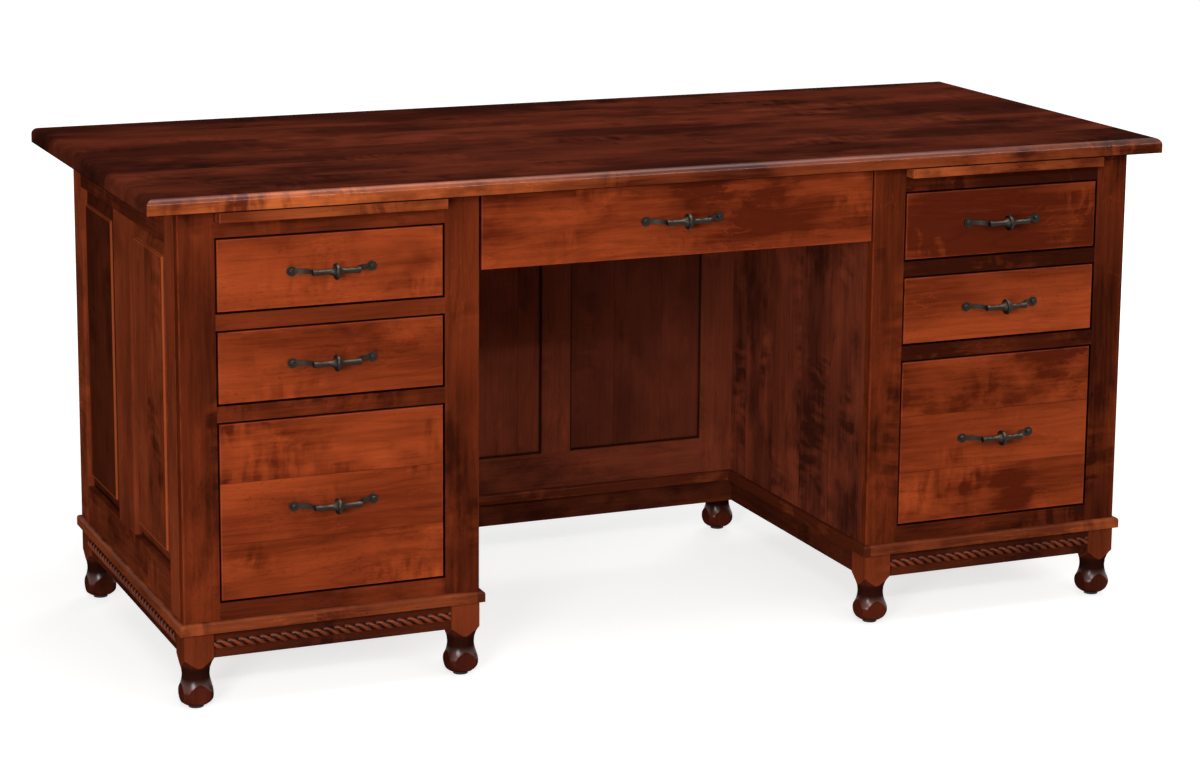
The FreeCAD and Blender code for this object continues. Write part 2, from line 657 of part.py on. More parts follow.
# Pull: two spade plates with a button each, flat bowed arms, and a turned grip that flares to a collar.
# Its back lies in the plane Y = 0 and it reaches towards -Y.
def pull():
    body = doc.addObject("PartDesign::Body", "pull")
    plates = new_sketch(body, "Plates", "XZ_Plane")
    for sign, bulge in (("", 1), ("-", -1)):
        tip, middle, inner = (f"{sign}({text})" for text in ("pull_length / 2", "plate_mid", "plate_in"))
        draw(plates, [(tip, "0", "plate_curve", -bulge),
                      (middle, "plate_height / 2", "plate_curve", -bulge),
                      (inner, "arm_width / 2"),
                      (inner, "-arm_width / 2", "plate_curve", -bulge),
                      (middle, "-plate_height / 2", "plate_curve", -bulge)])
    pad(body, plates, "plate_thick")
    buttons = new_sketch(body, "Buttons", "XZ_Plane")
    for sign in (1, -1):
        spot = FreeCAD.Vector(sign * value("plate_mid"), 0, 0)
        ring = buttons.addGeometry(Part.Circle(spot, FreeCAD.Vector(0, 0, 1), value("button_radius")))
        for kind, text in (("DistanceX", f"{sign} * (plate_mid)"), ("DistanceY", "0")):
            pin = buttons.addConstraint(Sketcher.Constraint(kind, ring, 3, value(text)))
            bind(buttons, f"Constraints[{pin}]", text)
        size = buttons.addConstraint(Sketcher.Constraint("Radius", ring, value("button_radius")))
        bind(buttons, f"Constraints[{size}]", "button_radius")
    studs = pad(body, buttons, "plate_thick + button_rise")
    fillet(body, studs, "button_round", lambda point: near(point.y, "-(plate_thick + button_rise)"))
    arms = new_sketch(body, "Arms", "XY_Plane")
    for sign, bulge in (("", 1), ("-", -1)):
        root, heel, end = (f"{sign}({text})" for text in
                           ("plate_in + plate_thick", "plate_in - arm_thick", "grip_half - arm_thick"))
        draw(arms, [(root, "0"),
                    (root, "-plate_thick", "arm_curve", -bulge),
                    (end, "-(pull_axis + arm_thick / 2)"),
                    (end, "arm_thick / 2 - pull_axis", "arm_curve", bulge),
                    (heel, "0")])
    pad(body, arms, "arm_width", both_ways=True)
    grip = new_sketch(body, "Grip", "XY_Plane")
    bind(grip, "AttachmentOffset.Base.y", "-pull_axis")
    draw(grip, [("-grip_half", "0"),
                ("-grip_half", "grip_end_radius"),
                ("-waist_half", "grip_waist_radius", "trumpet_curve", -1),
                ("-collar_thick / 2", "trumpet_radius"),
                ("-collar_thick / 2", "rim_foot", "collar_rim", 1),
                ("collar_thick / 2", "rim_foot"),
                ("collar_thick / 2", "trumpet_radius", "trumpet_curve", -1),
                ("waist_half", "grip_waist_radius"),
                ("grip_half", "grip_end_radius"),
                ("grip_half", "0")])
    turned = body.newObject("PartDesign::Revolution", "Turned")
    turned.Profile = grip
    turned.ReferenceAxis = (grip, ["H_Axis"])
    turned.Angle = 360
    doc.recompute()
    return body


# Slide member: a steel channel along Y that opens to the right (1) or to the left (-1).
def channel(name, x, y, z, opens):
    steel = "slide_steel" if opens > 0 else "-slide_steel"
    outside = board(f"{name}_outside", x, y, z)
    hollow = board(f"{name}_hollow", tuple(f"{limit} + ({steel})" for limit in x), y,
                   tuple(f"{limit} {sign} slide_steel" for limit, sign in zip(z, "+-")))
    return cut(name, outside, hollow)


# The members of one slide, nested from the cabinet side to the drawer. Each inner member is lower by the
# steel and the play of the one round it.
def slide(name, opening, at_right, height, middle, y, parts):
    low, high = opening
    members = []
    for order in range(parts):
        last = order == parts - 1
        shrink = f"{order} * (slide_steel + slide_play)"
        z = (f"{middle} - {height} / 2 + {shrink}", f"{middle} + {height} / 2 - {shrink}")
        start = f"{order} * (slide_steel + slide_tip)"
        end = "slide_space" if last else "slide_space - slide_tip"
        x = (f"{low} + {start}", f"{low} + {end}")
        if at_right:
            x = (f"{high} - ({end})", f"{high} - ({start})")
        opens = 1 if last == at_right else -1
        members.append(channel(f"{name}_member_{order}", x, y, z, opens))
    return members


CABINET_MEMBERS = []
SPACERS = []


# Drawer: an inset front, a grooved box with a thin bottom, a pull and its slide members. The cabinet
# members and the spacer battens behind them stay with the case.
def drawer(name, pull_body, opening, z, box_z, back, kind):
    low, high = opening
    bottom_z, top_z = z
    front_x = (f"{low} + drawer_gap", f"{high} - drawer_gap")
    front_z = (f"{bottom_z} + drawer_gap", f"{top_z} - drawer_gap")
    node(f"{name}_front", eased_board(f"{name}_front_board", front_x, ("face_y", "front_back"), front_z))
    node(f"{name}_pull", moved(f"{name}_pull_set", pull_body, f"(({low}) + ({high})) / 2", "face_y",
                               f"(({bottom_z}) + ({top_z})) / 2"))

    left, right = f"{low} + slide_space", f"{high} - slide_space"
    near_y, far_y = "front_back", f"{back} - box_back_room"
    floor_z = f"{box_z[0]} + bottom_lift"
    inside = (f"{left} + box_thick", f"{right} - box_thick")
    bottom_x = (f"{inside[0]} - bottom_groove", f"{inside[1]} + bottom_groove")
    bottom_y = (f"{near_y} + box_thick - bottom_groove", far_y)
    bottom = board(f"{name}_bottom", bottom_x, bottom_y, (floor_z, f"{floor_z} + bottom_thick"))
    groove = board(f"{name}_groove", (f"{bottom_x[0]} - groove_play", f"{bottom_x[1]} + groove_play"),
                   (f"{bottom_y[0]} - groove_play", f"{far_y} + groove_play"),
                   (f"{floor_z} - groove_play", f"{floor_z} + bottom_thick + groove_play"))
    walls = [("left_side", (left, inside[0]), (near_y, far_y)),
             ("right_side", (inside[1], right), (near_y, far_y)),
             ("inner_front", inside, (near_y, f"{near_y} + box_thick"))]
    pieces = [cut(f"{name}_{wall}", board(f"{name}_{wall}_blank", x, y, box_z), groove)
              for wall, x, y in walls]
    pieces.append(board(f"{name}_back", inside, (f"{far_y} - box_thick", far_y),
                        (f"{floor_z} + bottom_thick + groove_play", box_z[1])))
    node(f"{name}_box", *pieces, bottom)

    parts = 3 if kind == "file" else 2
    height = "file_slide_height" if kind == "file" else "box_slide_height"
    middle = f"(({box_z[0]}) + ({box_z[1]})) / 2"
    slide_y = ("front_back + slide_front_gap", f"{back} - slide_back_room")
    moving, between = [], []
    for at_right in (False, True):
        members = slide(f"{name}_slide", opening, at_right, height, middle, slide_y, parts)
        CABINET_MEMBERS.append(members[0])
        moving.append(members[-1])
        between += members[1:-1]
    node(f"{name}_slides", *moving)
    if kind == "file":
        node(f"{name}_mid_slides", *between)
        rails = []
        for x in ((left, inside[0]), (inside[1], right)):
            centre = f"(({x[0]}) + ({x[1]})) / 2"
            rails.append(board(f"{name}_hang_rail",
                               (f"{centre} - hang_rail_thick / 2", f"{centre} + hang_rail_thick / 2"),
                               (f"{near_y} + box_thick", f"{far_y} - box_thick"),
                               (box_z[1], f"{box_z[1]} + hang_rail_height")))
        node(f"{name}_hang_rails", *rails)
    if kind != "centre":
        reach = f"{height} / 2 + spacer_margin"
        side = name.split("_")[0]
        for x in (("knee_in", "opening_low"), ("opening_high", "wall_in")):
            SPACERS.append(board(f"{name}_spacer", sided(side, x), ("frame_back", "inner_back"),
                                 (f"{middle} - ({reach})", f"{middle} + {reach}")))


def drawers():
    pull_body = pull()
    levels = (("top", "top_box_low", "top_box_high", "box_head_room", "box"),
              ("middle", "middle_box_low", "middle_box_high", "box_head_room", "box"),
              ("file", "file_low", "file_high", "file_head_room", "file"))
    for side in ("left", "right"):
        opening = sided(side, ("opening_low", "opening_high"))
        for level, low, high, head_room, kind in levels:
            drawer(f"{side}_{level}_drawer", pull_body, opening, (low, high),
                   (f"{low} + box_floor_room", f"{high} - {head_room}"), "inner_back", kind)
    drawer("centre_drawer", pull_body, ("-(knee_half)", "knee_half"), ("centre_low", "top_under"),
           ("centre_low + box_floor_room", "top_under - centre_head_room"), "modesty_front", "centre")
    node("cabinet_slide_members", *CABINET_MEMBERS)
    node("slide_spacers", *SPACERS)


# Writing board: it lies in the slot under the desktop, its lip in front of the face frame. The dowel under
# it meets the rail when the board is drawn out.
def writing_board(side):
    x = ("opening_low + board_side_play", "opening_high - board_side_play")
    back = "inner_back - board_back_room"
    low = "slot_low + board_play"
    leaf = eased_board(f"{side}_leaf", sided(side, x), ("face_y - board_lip", back),
                       (low, "top_under - board_play"))
    dowel = doc.addObject("Part::Cylinder", f"{side}_stop")
    bind(dowel, "Radius", "stop_radius")
    bind(dowel, "Height", "stop_height")
    centre = "(opening_low + opening_high) / 2"
    bind_place(dowel, sided(side, (centre, centre))[0], f"{back} - stop_inset", f"{low} - stop_height")
    node(f"{side}_writing_board", leaf, dowel)


desktop()
for side in ("left", "right"):
    face_frame(side)
    end_wall(side)
    pedestal_mouldings(side)
    writing_board(side)
back_walls()
modesty_wall()
inner_boards()
rear_moulding()
aprons()
rope_mouldings()
feet()
drawers()
doc.recompute()

for item in doc.Objects:
    if "Invalid" in item.State or "Error" in item.State:
        raise RuntimeError(f"{item.Label} did not build: {item.State}")
for piece in NODES:
    if piece.Shape.isNull() or not piece.Shape.isValid():
        raise RuntimeError(f"{piece.Label} has no valid shape")

os.makedirs("parts", exist_ok=True)
for piece in NODES:
    solids = piece.Shape.Solids
    shape = solids[0] if len(solids) == 1 else Part.makeCompound(solids)
    shape.exportStep(f"parts/{piece.Label}.step")
print(len(NODES), "nodes,", sum(len(piece.Shape.Solids) for piece in NODES), "solids")
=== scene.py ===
import math

import bpy
import numpy as np
from mathutils import Matrix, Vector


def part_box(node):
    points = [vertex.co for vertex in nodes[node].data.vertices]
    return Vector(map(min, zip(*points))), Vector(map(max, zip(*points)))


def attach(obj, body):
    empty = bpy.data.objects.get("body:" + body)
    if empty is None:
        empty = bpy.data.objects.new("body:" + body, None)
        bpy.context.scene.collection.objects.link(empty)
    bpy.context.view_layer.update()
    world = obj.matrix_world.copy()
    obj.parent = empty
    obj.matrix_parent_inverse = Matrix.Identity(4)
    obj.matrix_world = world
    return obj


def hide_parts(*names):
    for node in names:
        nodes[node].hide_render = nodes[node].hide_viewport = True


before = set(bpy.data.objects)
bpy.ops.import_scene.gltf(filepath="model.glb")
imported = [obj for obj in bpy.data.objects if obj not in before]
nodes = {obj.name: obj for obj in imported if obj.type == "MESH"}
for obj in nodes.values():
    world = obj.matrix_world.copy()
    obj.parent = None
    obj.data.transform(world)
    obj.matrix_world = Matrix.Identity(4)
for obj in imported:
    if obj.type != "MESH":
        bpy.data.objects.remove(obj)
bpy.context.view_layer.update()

# Feet and glides: eight square maple blanks, turned below the block to a waist and a bulb, stained and
# lacquered with the rest of the desk, each with a moulded glide driven into its end grain.


def srgb(red, green, blue):
    """Linear colour of a screen colour in steps of 255: the sRGB curve, taken as its power law."""
    return tuple(((step / 255 + 0.055) / 1.055) ** 2.4 for step in (red, green, blue)) + (1.0,)


def add(tree, kind, inputs=None, **settings):
    """One shader node: settings are its own, an input given as a socket is linked, any other value is set."""
    made = tree.nodes.new("ShaderNode" + kind)
    for name, setting in settings.items():
        setattr(made, name, setting)
    for name, given in (inputs or {}).items():
        if isinstance(given, bpy.types.NodeSocket):
            tree.links.new(given, made.inputs[name])
        else:
            made.inputs[name].default_value = given
    return made


def reckon(tree, operation, *terms):
    """One sum on values."""
    return add(tree, "Math", dict(enumerate(terms)), operation=operation).outputs[0]


def between(tree, value, low, high):
    """0 at low, 1 at high, a smooth step from one to the other."""
    step = {"Value": value, "From Min": low, "From Max": high}
    return add(tree, "MapRange", step, interpolation_type="SMOOTHSTEP").outputs[0]


def tinted(tree, share, first, second, blend="MIX"):
    """The first colour with a share of the second laid over it."""
    return add(tree, "Mix", {0: share, 6: first, 7: second}, data_type="RGBA", blend_type=blend).outputs[2]


def mottle(tree, point, stretch, detail=3.0, rough=0.5):
    """Soft patches, on each axis about one metre divided by the stretch long, as a value round 0.5."""
    drawn_out = add(tree, "VectorMath", {0: point, 1: stretch}, operation="MULTIPLY").outputs[0]
    patches = {"Vector": drawn_out, "Scale": 1.0, "Detail": detail, "Roughness": rough}
    return add(tree, "TexNoise", patches).outputs[0]


def parts_of(tree, vector):
    """X, Y and Z of a vector."""
    return add(tree, "SeparateXYZ", {0: vector}).outputs


def object_point(tree):
    """The point's place on the object, in metres."""
    return add(tree, "TexCoord").outputs["Object"]


def place_of(tree):
    """X, Y and Z of the point's place."""
    return parts_of(tree, object_point(tree))


def facing_of(tree):
    """X, Y and Z of the way that the surface looks: its third is 0 on a wall and 1 on a floor."""
    return parts_of(tree, add(tree, "NewGeometry").outputs["Normal"])


def new_group(name, inputs, outputs):
    """An empty node group with named sockets, with its own input and output nodes."""
    tree = bpy.data.node_groups.new(name, "ShaderNodeTree")
    for side, sockets in (("INPUT", inputs), ("OUTPUT", outputs)):
        for socket, kind in sockets.items():
            tree.interface.new_socket(name=socket, in_out=side, socket_type="NodeSocket" + kind)
    return tree, tree.nodes.new("NodeGroupInput").outputs, tree.nodes.new("NodeGroupOutput").inputs


def stained_maple_group():
    """Maple under a wiping stain, with X along the fibre. Broad clouds, blotches where the wood drank more
    stain, streaks and cross-grain curl are added up to how far the colour lies from the dark to the light
    stain; thin bright feathers lie over them. Fibres, short flecks, year lines and a few knots then darken
    the colour."""
    tree, given, result = new_group(
        "stained maple",
        {"Grain": "Vector", "Light Stain": "Color", "Dark Stain": "Color", "Tone": "Float",
         "Figure": "Float"},
        {"Color": "Color", "Roughness": "Float", "Height": "Float"})
    grain = given["Grain"]
    drift = add(tree, "VectorMath", {0: grain, 1: (5.0, 14.0, 14.0)}, operation="MULTIPLY").outputs[0]
    sway = add(tree, "TexNoise", {"Vector": drift, "Scale": 1.0, "Detail": 3.0}).outputs[1]
    centred = add(tree, "VectorMath", {0: sway, 1: (0.5, 0.5, 0.5)}, operation="SUBTRACT").outputs[0]
    wavy = add(tree, "VectorMath", {0: centred, 1: (0.03, 0.014, 0.014), 2: grain},
               operation="MULTIPLY_ADD").outputs[0]
    cloud = between(tree, mottle(tree, wavy, (2.6, 9.0, 9.0)), 0.34, 0.66)
    blotch_place = between(tree, mottle(tree, grain, (3.4, 7.0, 7.0), 2.0), 0.40, 0.62)
    blotch = between(tree, mottle(tree, wavy, (13.0, 22.0, 22.0), 7.0, 0.58), 0.28, 0.72)
    streak = between(tree, mottle(tree, wavy, (6.0, 150.0, 150.0), 4.0, 0.6), 0.30, 0.70)
    curl_place = between(tree, mottle(tree, grain, (6.0, 12.0, 12.0), 2.0), 0.52, 0.66)
    curl = between(tree, mottle(tree, wavy, (56.0, 14.0, 14.0), 3.0), 0.34, 0.66)
    feather_place = between(tree, mottle(tree, grain, (8.0, 13.0, 13.0), 2.0), 0.55, 0.66)
    contour = reckon(tree, "SUBTRACT", mottle(tree, wavy, (17.0, 52.0, 52.0), 4.0), 0.5)
    feather = between(tree, reckon(tree, "ABSOLUTE", contour), 0.020, 0.004)
    feather = reckon(tree, "MULTIPLY", feather, feather_place)
    fibre = mottle(tree, wavy, (40.0, 1100.0, 1100.0), 2.0)
    fleck_place = between(tree, mottle(tree, grain, (7.0, 16.0, 16.0), 2.0), 0.44, 0.62)
    fleck = between(tree, mottle(tree, wavy, (130.0, 480.0, 480.0), 1.0), 0.60, 0.70)
    fleck = reckon(tree, "MULTIPLY", fleck, fleck_place)
    rings = reckon(tree, "MULTIPLY", mottle(tree, wavy, (1.1, 15.0, 15.0), 1.0), 13.0)
    rings = reckon(tree, "FRACT", rings)
    year_line = reckon(tree, "MULTIPLY", between(tree, rings, 0.78, 0.97), between(tree, rings, 1.0, 0.97))
    spots = add(tree, "VectorMath", {0: wavy, 1: (4.0, 9.0, 9.0)}, operation="MULTIPLY").outputs[0]
    knots = add(tree, "TexVoronoi", {"Vector": spots, "Scale": 1.0})
    chance = parts_of(tree, knots.outputs["Color"])[0]
    knot = reckon(tree, "MULTIPLY", between(tree, knots.outputs["Distance"], 0.10, 0.015),
                  reckon(tree, "GREATER_THAN", chance, 0.84))
    share = reckon(tree, "MULTIPLY", feather, 0.16)
    for mask, place, weight in ((cloud, 1.0, 0.42), (blotch, blotch_place, 0.58), (streak, 1.0, 0.18),
                                (curl, curl_place, 0.42)):
        weighed = reckon(tree, "MULTIPLY", reckon(tree, "SUBTRACT", mask, 0.5), place)
        share = reckon(tree, "MULTIPLY_ADD", weighed, weight, share)
    middle = reckon(tree, "ADD", given["Tone"], 0.5)
    share = reckon(tree, "MULTIPLY_ADD", share, given["Figure"], middle)
    share = add(tree, "Clamp", {0: share}).outputs[0]
    colour = tinted(tree, share, given["Dark Stain"], given["Light Stain"])
    shade = reckon(tree, "MULTIPLY_ADD", fibre, 0.38, 0.81)
    for mask, depth in ((fleck, -0.26), (year_line, -0.14), (knot, -0.55)):
        shade = reckon(tree, "MULTIPLY", shade, reckon(tree, "MULTIPLY_ADD", mask, depth, 1.0))
    shades = add(tree, "CombineXYZ", {0: shade, 1: shade, 2: shade}).outputs[0]
    tree.links.new(tinted(tree, 1.0, colour, shades, "MULTIPLY"), result["Color"])
    fibre_dull = reckon(tree, "MULTIPLY_ADD", fibre, 0.10, 0.38)
    tree.links.new(reckon(tree, "MULTIPLY_ADD", blotch, -0.08, fibre_dull), result["Roughness"])
    tree.links.new(reckon(tree, "MULTIPLY_ADD", streak, 0.5, fibre), result["Height"])
    return tree


def paled_arris_group():
    """Mask of the paled arrises of a box-shaped piece, partly stain scuffed off and partly a painted
    highlight on the eased edges: a point lies on an arris where it is near two of the box's faces at once,
    nearness to a face falling from 1 on it to 0 at the given width, broken up by soft patches."""
    tree, given, result = new_group(
        "rubbed arris",
        {"Point": "Vector", "Centre": "Vector", "Half Size": "Vector", "Width": "Float"},
        {"Mask": "Float"})
    away = add(tree, "VectorMath", {0: given["Point"], 1: given["Centre"]}, operation="SUBTRACT").outputs[0]
    away = add(tree, "VectorMath", {0: away}, operation="ABSOLUTE").outputs[0]
    inward = add(tree, "VectorMath", {0: given["Half Size"], 1: away}, operation="SUBTRACT").outputs[0]
    close = [between(tree, depth, given["Width"], 0.0) for depth in parts_of(tree, inward)]
    pairs = [reckon(tree, "MULTIPLY", close[axis - 1], close[axis]) for axis in range(3)]
    paled_share = reckon(tree, "MAXIMUM", reckon(tree, "MAXIMUM", pairs[0], pairs[1]), pairs[2])
    broken = between(tree, mottle(tree, given["Point"], (38.0, 38.0, 38.0)), 0.30, 0.60)
    tree.links.new(reckon(tree, "MULTIPLY", paled_share, broken), result["Mask"])
    return tree


stained_maple = stained_maple_group()
paled_arris = paled_arris_group()
FIBRE_ORDER = {"x": (0, 1, 2), "y": (1, 2, 0), "z": (2, 0, 1)}


def fibre_along(tree, axis, shift=(0.0, 0.0, 0.0)):
    """The point's place with the axis of the fibre first, moved so that one board does not repeat another."""
    place = place_of(tree)
    turned = add(tree, "CombineXYZ", {to: place[of] for to, of in enumerate(FIBRE_ORDER[axis])}).outputs[0]
    return add(tree, "Mapping", {"Vector": turned, "Location": shift}).outputs[0]


def whole_board(axis, shift=(0.0, 0.0, 0.0)):
    """Lay of a piece cut from one board: its grain, no change of tone, no glue joint."""
    return lambda tree: (fibre_along(tree, axis, shift), 0.0, None)


def bare_material(name):
    """A material with an empty node tree."""
    material = bpy.data.materials.new(name)
    material.use_nodes = True
    material.node_tree.nodes.clear()
    return material, material.node_tree


GLUE_LINE = 0.45
ARRIS_WIDTH = 0.0030
ARRIS_PALER = 1.45
GRAIN_RELIEF = 0.0003
GLOSS_RISE = (0.10, 0.40)


def stained(name, light, dark, lay, tone=0.0, figure=1.0, paled=None, arris_paling=0.6, gloss=0.2, haze=0.34):
    """Stained and lacquered wood: the lay gives the grain, and the box of the paled piece the arrises that
    are paled, partly stain scuffed off and partly a painted highlight. The lacquer is dull on upright faces
    and takes its gloss where an edge or a turning looks up."""
    material, tree = bare_material(name)
    grain, board_tone, joint = lay(tree)
    wood = add(tree, "Group", {"Grain": grain, "Light Stain": light, "Dark Stain": dark,
                               "Tone": reckon(tree, "ADD", board_tone, tone), "Figure": figure},
               node_tree=stained_maple)
    wood.name = "wood"
    colour = wood.outputs["Color"]
    if joint:
        glue = tuple(GLUE_LINE * part for part in dark)
        colour = tinted(tree, reckon(tree, "MULTIPLY", joint, GLUE_LINE), colour, glue)
    # Paled arrises: scuffed stain, and partly a painted highlight where the eased edges catch the light.
    if paled:
        low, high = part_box(paled)
        arris = add(tree, "Group", {"Point": object_point(tree), "Centre": (low + high) / 2,
                                    "Half Size": (high - low) / 2, "Width": ARRIS_WIDTH},
                    node_tree=paled_arris)
        paled_share = reckon(tree, "MULTIPLY", arris.outputs[0], arris_paling)
        colour = tinted(tree, paled_share, colour, tuple(min(1.0, ARRIS_PALER * part) for part in light))
    relief = add(tree, "Bump", {"Strength": 0.10, "Distance": GRAIN_RELIEF, "Height": wood.outputs["Height"]})
    lacquer = 0.0
    if gloss:
        lacquer = reckon(tree, "MULTIPLY", between(tree, facing_of(tree)[2], *GLOSS_RISE), gloss)
    shader = add(tree, "BsdfPrincipled", {
        "Base Color": colour, "Roughness": wood.outputs["Roughness"], "Specular IOR Level": 0.0,
        "Coat Weight": lacquer, "Coat Roughness": haze, "Normal": relief.outputs[0]})
    add(tree, "OutputMaterial", {"Surface": shader.outputs[0]})
    return material


def finish(material, *names):
    """Give the material to the named pieces of the frame."""
    for name in names:
        pieces = nodes[name].data.materials
        pieces.clear()
        pieces.append(material)


FLAT_STAINS = (srgb(138, 60, 31), srgb(70, 27, 15))
BULB_STAIN_AND_SHADE = (srgb(98, 40, 24), srgb(42, 16, 11))
# The bulb's and neck's darker stains are partly stain and partly painted shade, the neck's in its cove.
NECK_STAIN_AND_SHADE = (srgb(54, 22, 14), srgb(28, 11, 8))
NECK_HEIGHT = 0.0515
NECK_REACH = (0.020, 0.007)
FLATS_END = (0.0625, 0.0585)
FLAT_FACING = (0.9996, 0.990)


def foot_stain():
    """Three stains on one grain: thin on the flats, whose normals lie along an axis, more on what is turned,
    and most in the neck. The turned parts and most of all the neck are darker partly from stain that ran into
    the end grain and partly as painted shade."""
    material = stained("foot stain", *FLAT_STAINS, whole_board("z", (0.4, 0.0, 0.0)), gloss=0.8, haze=0.28)
    tree = material.node_tree
    facing = facing_of(tree)
    squarest = reckon(tree, "MAXIMUM", *(reckon(tree, "ABSOLUTE", facing[axis]) for axis in (0, 1)))
    height = place_of(tree)[2]
    from_neck = reckon(tree, "ABSOLUTE", reckon(tree, "SUBTRACT", height, NECK_HEIGHT))
    below_flats = between(tree, height, *FLATS_END)
    turned = reckon(tree, "MAXIMUM", between(tree, squarest, *FLAT_FACING), below_flats)
    neck = reckon(tree, "MULTIPLY", between(tree, from_neck, *NECK_REACH), turned)
    wood = tree.nodes["wood"]
    for number, socket in enumerate(("Light Stain", "Dark Stain")):
        shown = tinted(tree, turned, FLAT_STAINS[number], BULB_STAIN_AND_SHADE[number])
        tree.links.new(tinted(tree, neck, shown, NECK_STAIN_AND_SHADE[number]), wood.inputs[socket])
    return material


finish(foot_stain(), "feet")

GLIDE_BLACK = srgb(28, 27, 26)
GLIDE_SCUFF = tuple(min(1.0, 3 * part) for part in GLIDE_BLACK)


def glide_plastic():
    """Moulded black plastic: a fine spark-eroded texture with paler scuffs."""
    material, tree = bare_material("glide plastic")
    point = object_point(tree)
    pores = mottle(tree, point, (1800.0, 1800.0, 1800.0), 2.0)
    scuff = between(tree, mottle(tree, point, (120.0, 120.0, 300.0)), 0.52, 0.70)
    shown = tinted(tree, reckon(tree, "MULTIPLY", scuff, 0.5), GLIDE_BLACK, GLIDE_SCUFF)
    relief = add(tree, "Bump", {"Strength": 0.2, "Distance": 0.0002, "Height": pores})
    shader = add(tree, "BsdfPrincipled", {
        "Base Color": shown, "Roughness": reckon(tree, "MULTIPLY_ADD", pores, 0.25, 0.45),
        "Specular IOR Level": 0.3, "Normal": relief.outputs[0]})
    add(tree, "OutputMaterial", {"Surface": shader.outputs[0]})
    return material


finish(glide_plastic(), "foot_glides")

# Aprons: plain maple boards between the feet, set back under the moulding and glued to the floor boards,
# stained darker than the frames; the rear apron in the kneehole is darker still, as painted shade. The grain
# follows each board round a corner.


def sideways(tree):
    """1 where the surface faces left or right, 0 where it faces front or back."""
    return reckon(tree, "GREATER_THAN", reckon(tree, "ABSOLUTE", facing_of(tree)[0]), 0.6)


def chosen(tree, mask, first, second):
    """The first vector where the mask is 0, the second where it is 1."""
    return add(tree, "Mix", {0: mask, 4: first, 5: second}, data_type="VECTOR").outputs[1]


def along_x_then_y(tree):
    """Lay of boards that go round a corner: the fibre runs along X in front and behind, along Y at the
    sides."""
    return chosen(tree, sideways(tree), fibre_along(tree, "x"), fibre_along(tree, "y")), 0.0, None


APRON_LIGHT = srgb(104, 45, 25)
APRON_DARK = srgb(46, 18, 12)
# The rear apron's lower tone is painted shade, deep in the kneehole.
for names, tone in ((("left_aprons", "right_aprons"), -0.10), (("rear_apron",), -0.32)):
    finish(stained(f"{names[0]} stain", APRON_LIGHT, APRON_DARK, along_x_then_y, tone=tone), *names)

# Rope strips: half-round maple strips carved in a right-hand twist, each strand bulging between two narrow
# valleys, glued flat on the aprons of the fronts and the outer ends between the feet.

ROPE_RADIUS = 0.0075
ROPE_VALLEY = 0.0040
ROPE_PITCH = 0.0164
ROPE_LEAN = 0.0225
ROPE_BULGE = 1.2
ROPE_HEIGHT = 0.097
ROPE_FRONT_Y = -0.32925
ROPE_END_X = 0.784
ROPE_FRONT_SPAN = (0.374, 0.744)
ROPE_END_SPAN = (-0.28925, 0.24675)
ROPE_STEPS_PER_STRAND = 18
ROPE_STEPS_ACROSS = 15


def rope_strip(length):
    """Half-round section carried along the strip: at a turn of the section's angle from its top to its foot,
    the radius is the valley's plus the strand's height times the sine, to the power of the bulge, of the
    strand's phase, and the phase is the distance along the strip less the lean at that angle, over the pitch.
    The section's two ends lie on the apron, and a fan of faces closes each end of the strip."""
    along = np.linspace(0.0, length, 1 + round(length / ROPE_PITCH * ROPE_STEPS_PER_STRAND))
    angle = np.linspace(0.0, np.pi, ROPE_STEPS_ACROSS)
    s, turn = np.meshgrid(along, angle, indexing="ij")
    phase = (s - ROPE_LEAN * turn / np.pi) / ROPE_PITCH
    radius = ROPE_VALLEY + (ROPE_RADIUS - ROPE_VALLEY) * np.abs(np.sin(np.pi * phase)) ** ROPE_BULGE
    points = np.stack([s, radius * np.sin(turn), radius * np.cos(turn)], axis=-1)
    rows, columns = s.shape
    number = np.arange(rows * columns).reshape(rows, columns)
    nearer, further = number[:-1], number[1:]
    onward = np.roll(number, -1, axis=1)
    quads = np.stack([nearer, further, onward[1:], onward[:-1]], axis=-1).reshape(-1, 4)
    caps = [number[0], number[-1][::-1]]
    return points.reshape(-1, 3), quads, caps


def rope_strips():
    """All strips in one mesh: each is set down by its start, the way it runs and the way it faces."""
    front_length = ROPE_FRONT_SPAN[1] - ROPE_FRONT_SPAN[0]
    end_length = ROPE_END_SPAN[1] - ROPE_END_SPAN[0]
    places = [
        (front_length, (-ROPE_FRONT_SPAN[1], ROPE_FRONT_Y), (1, 0), (0, -1)),
        (front_length, (ROPE_FRONT_SPAN[0], ROPE_FRONT_Y), (1, 0), (0, -1)),
        (end_length, (-ROPE_END_X, ROPE_END_SPAN[1]), (0, -1), (-1, 0)),
        (end_length, (ROPE_END_X, ROPE_END_SPAN[0]), (0, 1), (1, 0)),
    ]
    points, faces, count = [], [], 0
    for length, start, runs, faces_to in places:
        local, quads, caps = rope_strip(length)
        axes = np.array([(*runs, 0), (*faces_to, 0), (0, 0, 1)], dtype=float)
        points.append(local @ axes + np.array((*start, ROPE_HEIGHT)))
        faces += (quads + count).tolist() + [(cap + count).tolist() for cap in caps]
        count += len(local)
    return np.concatenate(points), faces


def new_piece(name, points, faces, material, body):
    """A mesh object at the origin, smooth shaded but for its end caps, that rides on a body."""
    mesh = bpy.data.meshes.new(name)
    mesh.from_pydata(points.tolist(), [], faces)
    mesh.polygons.foreach_set("use_smooth", np.array([len(face) < 5 for face in faces]))
    mesh.materials.append(material)
    mesh.update()
    piece = bpy.data.objects.new(name, mesh)
    bpy.context.scene.collection.objects.link(piece)
    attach(piece, body)
    return piece


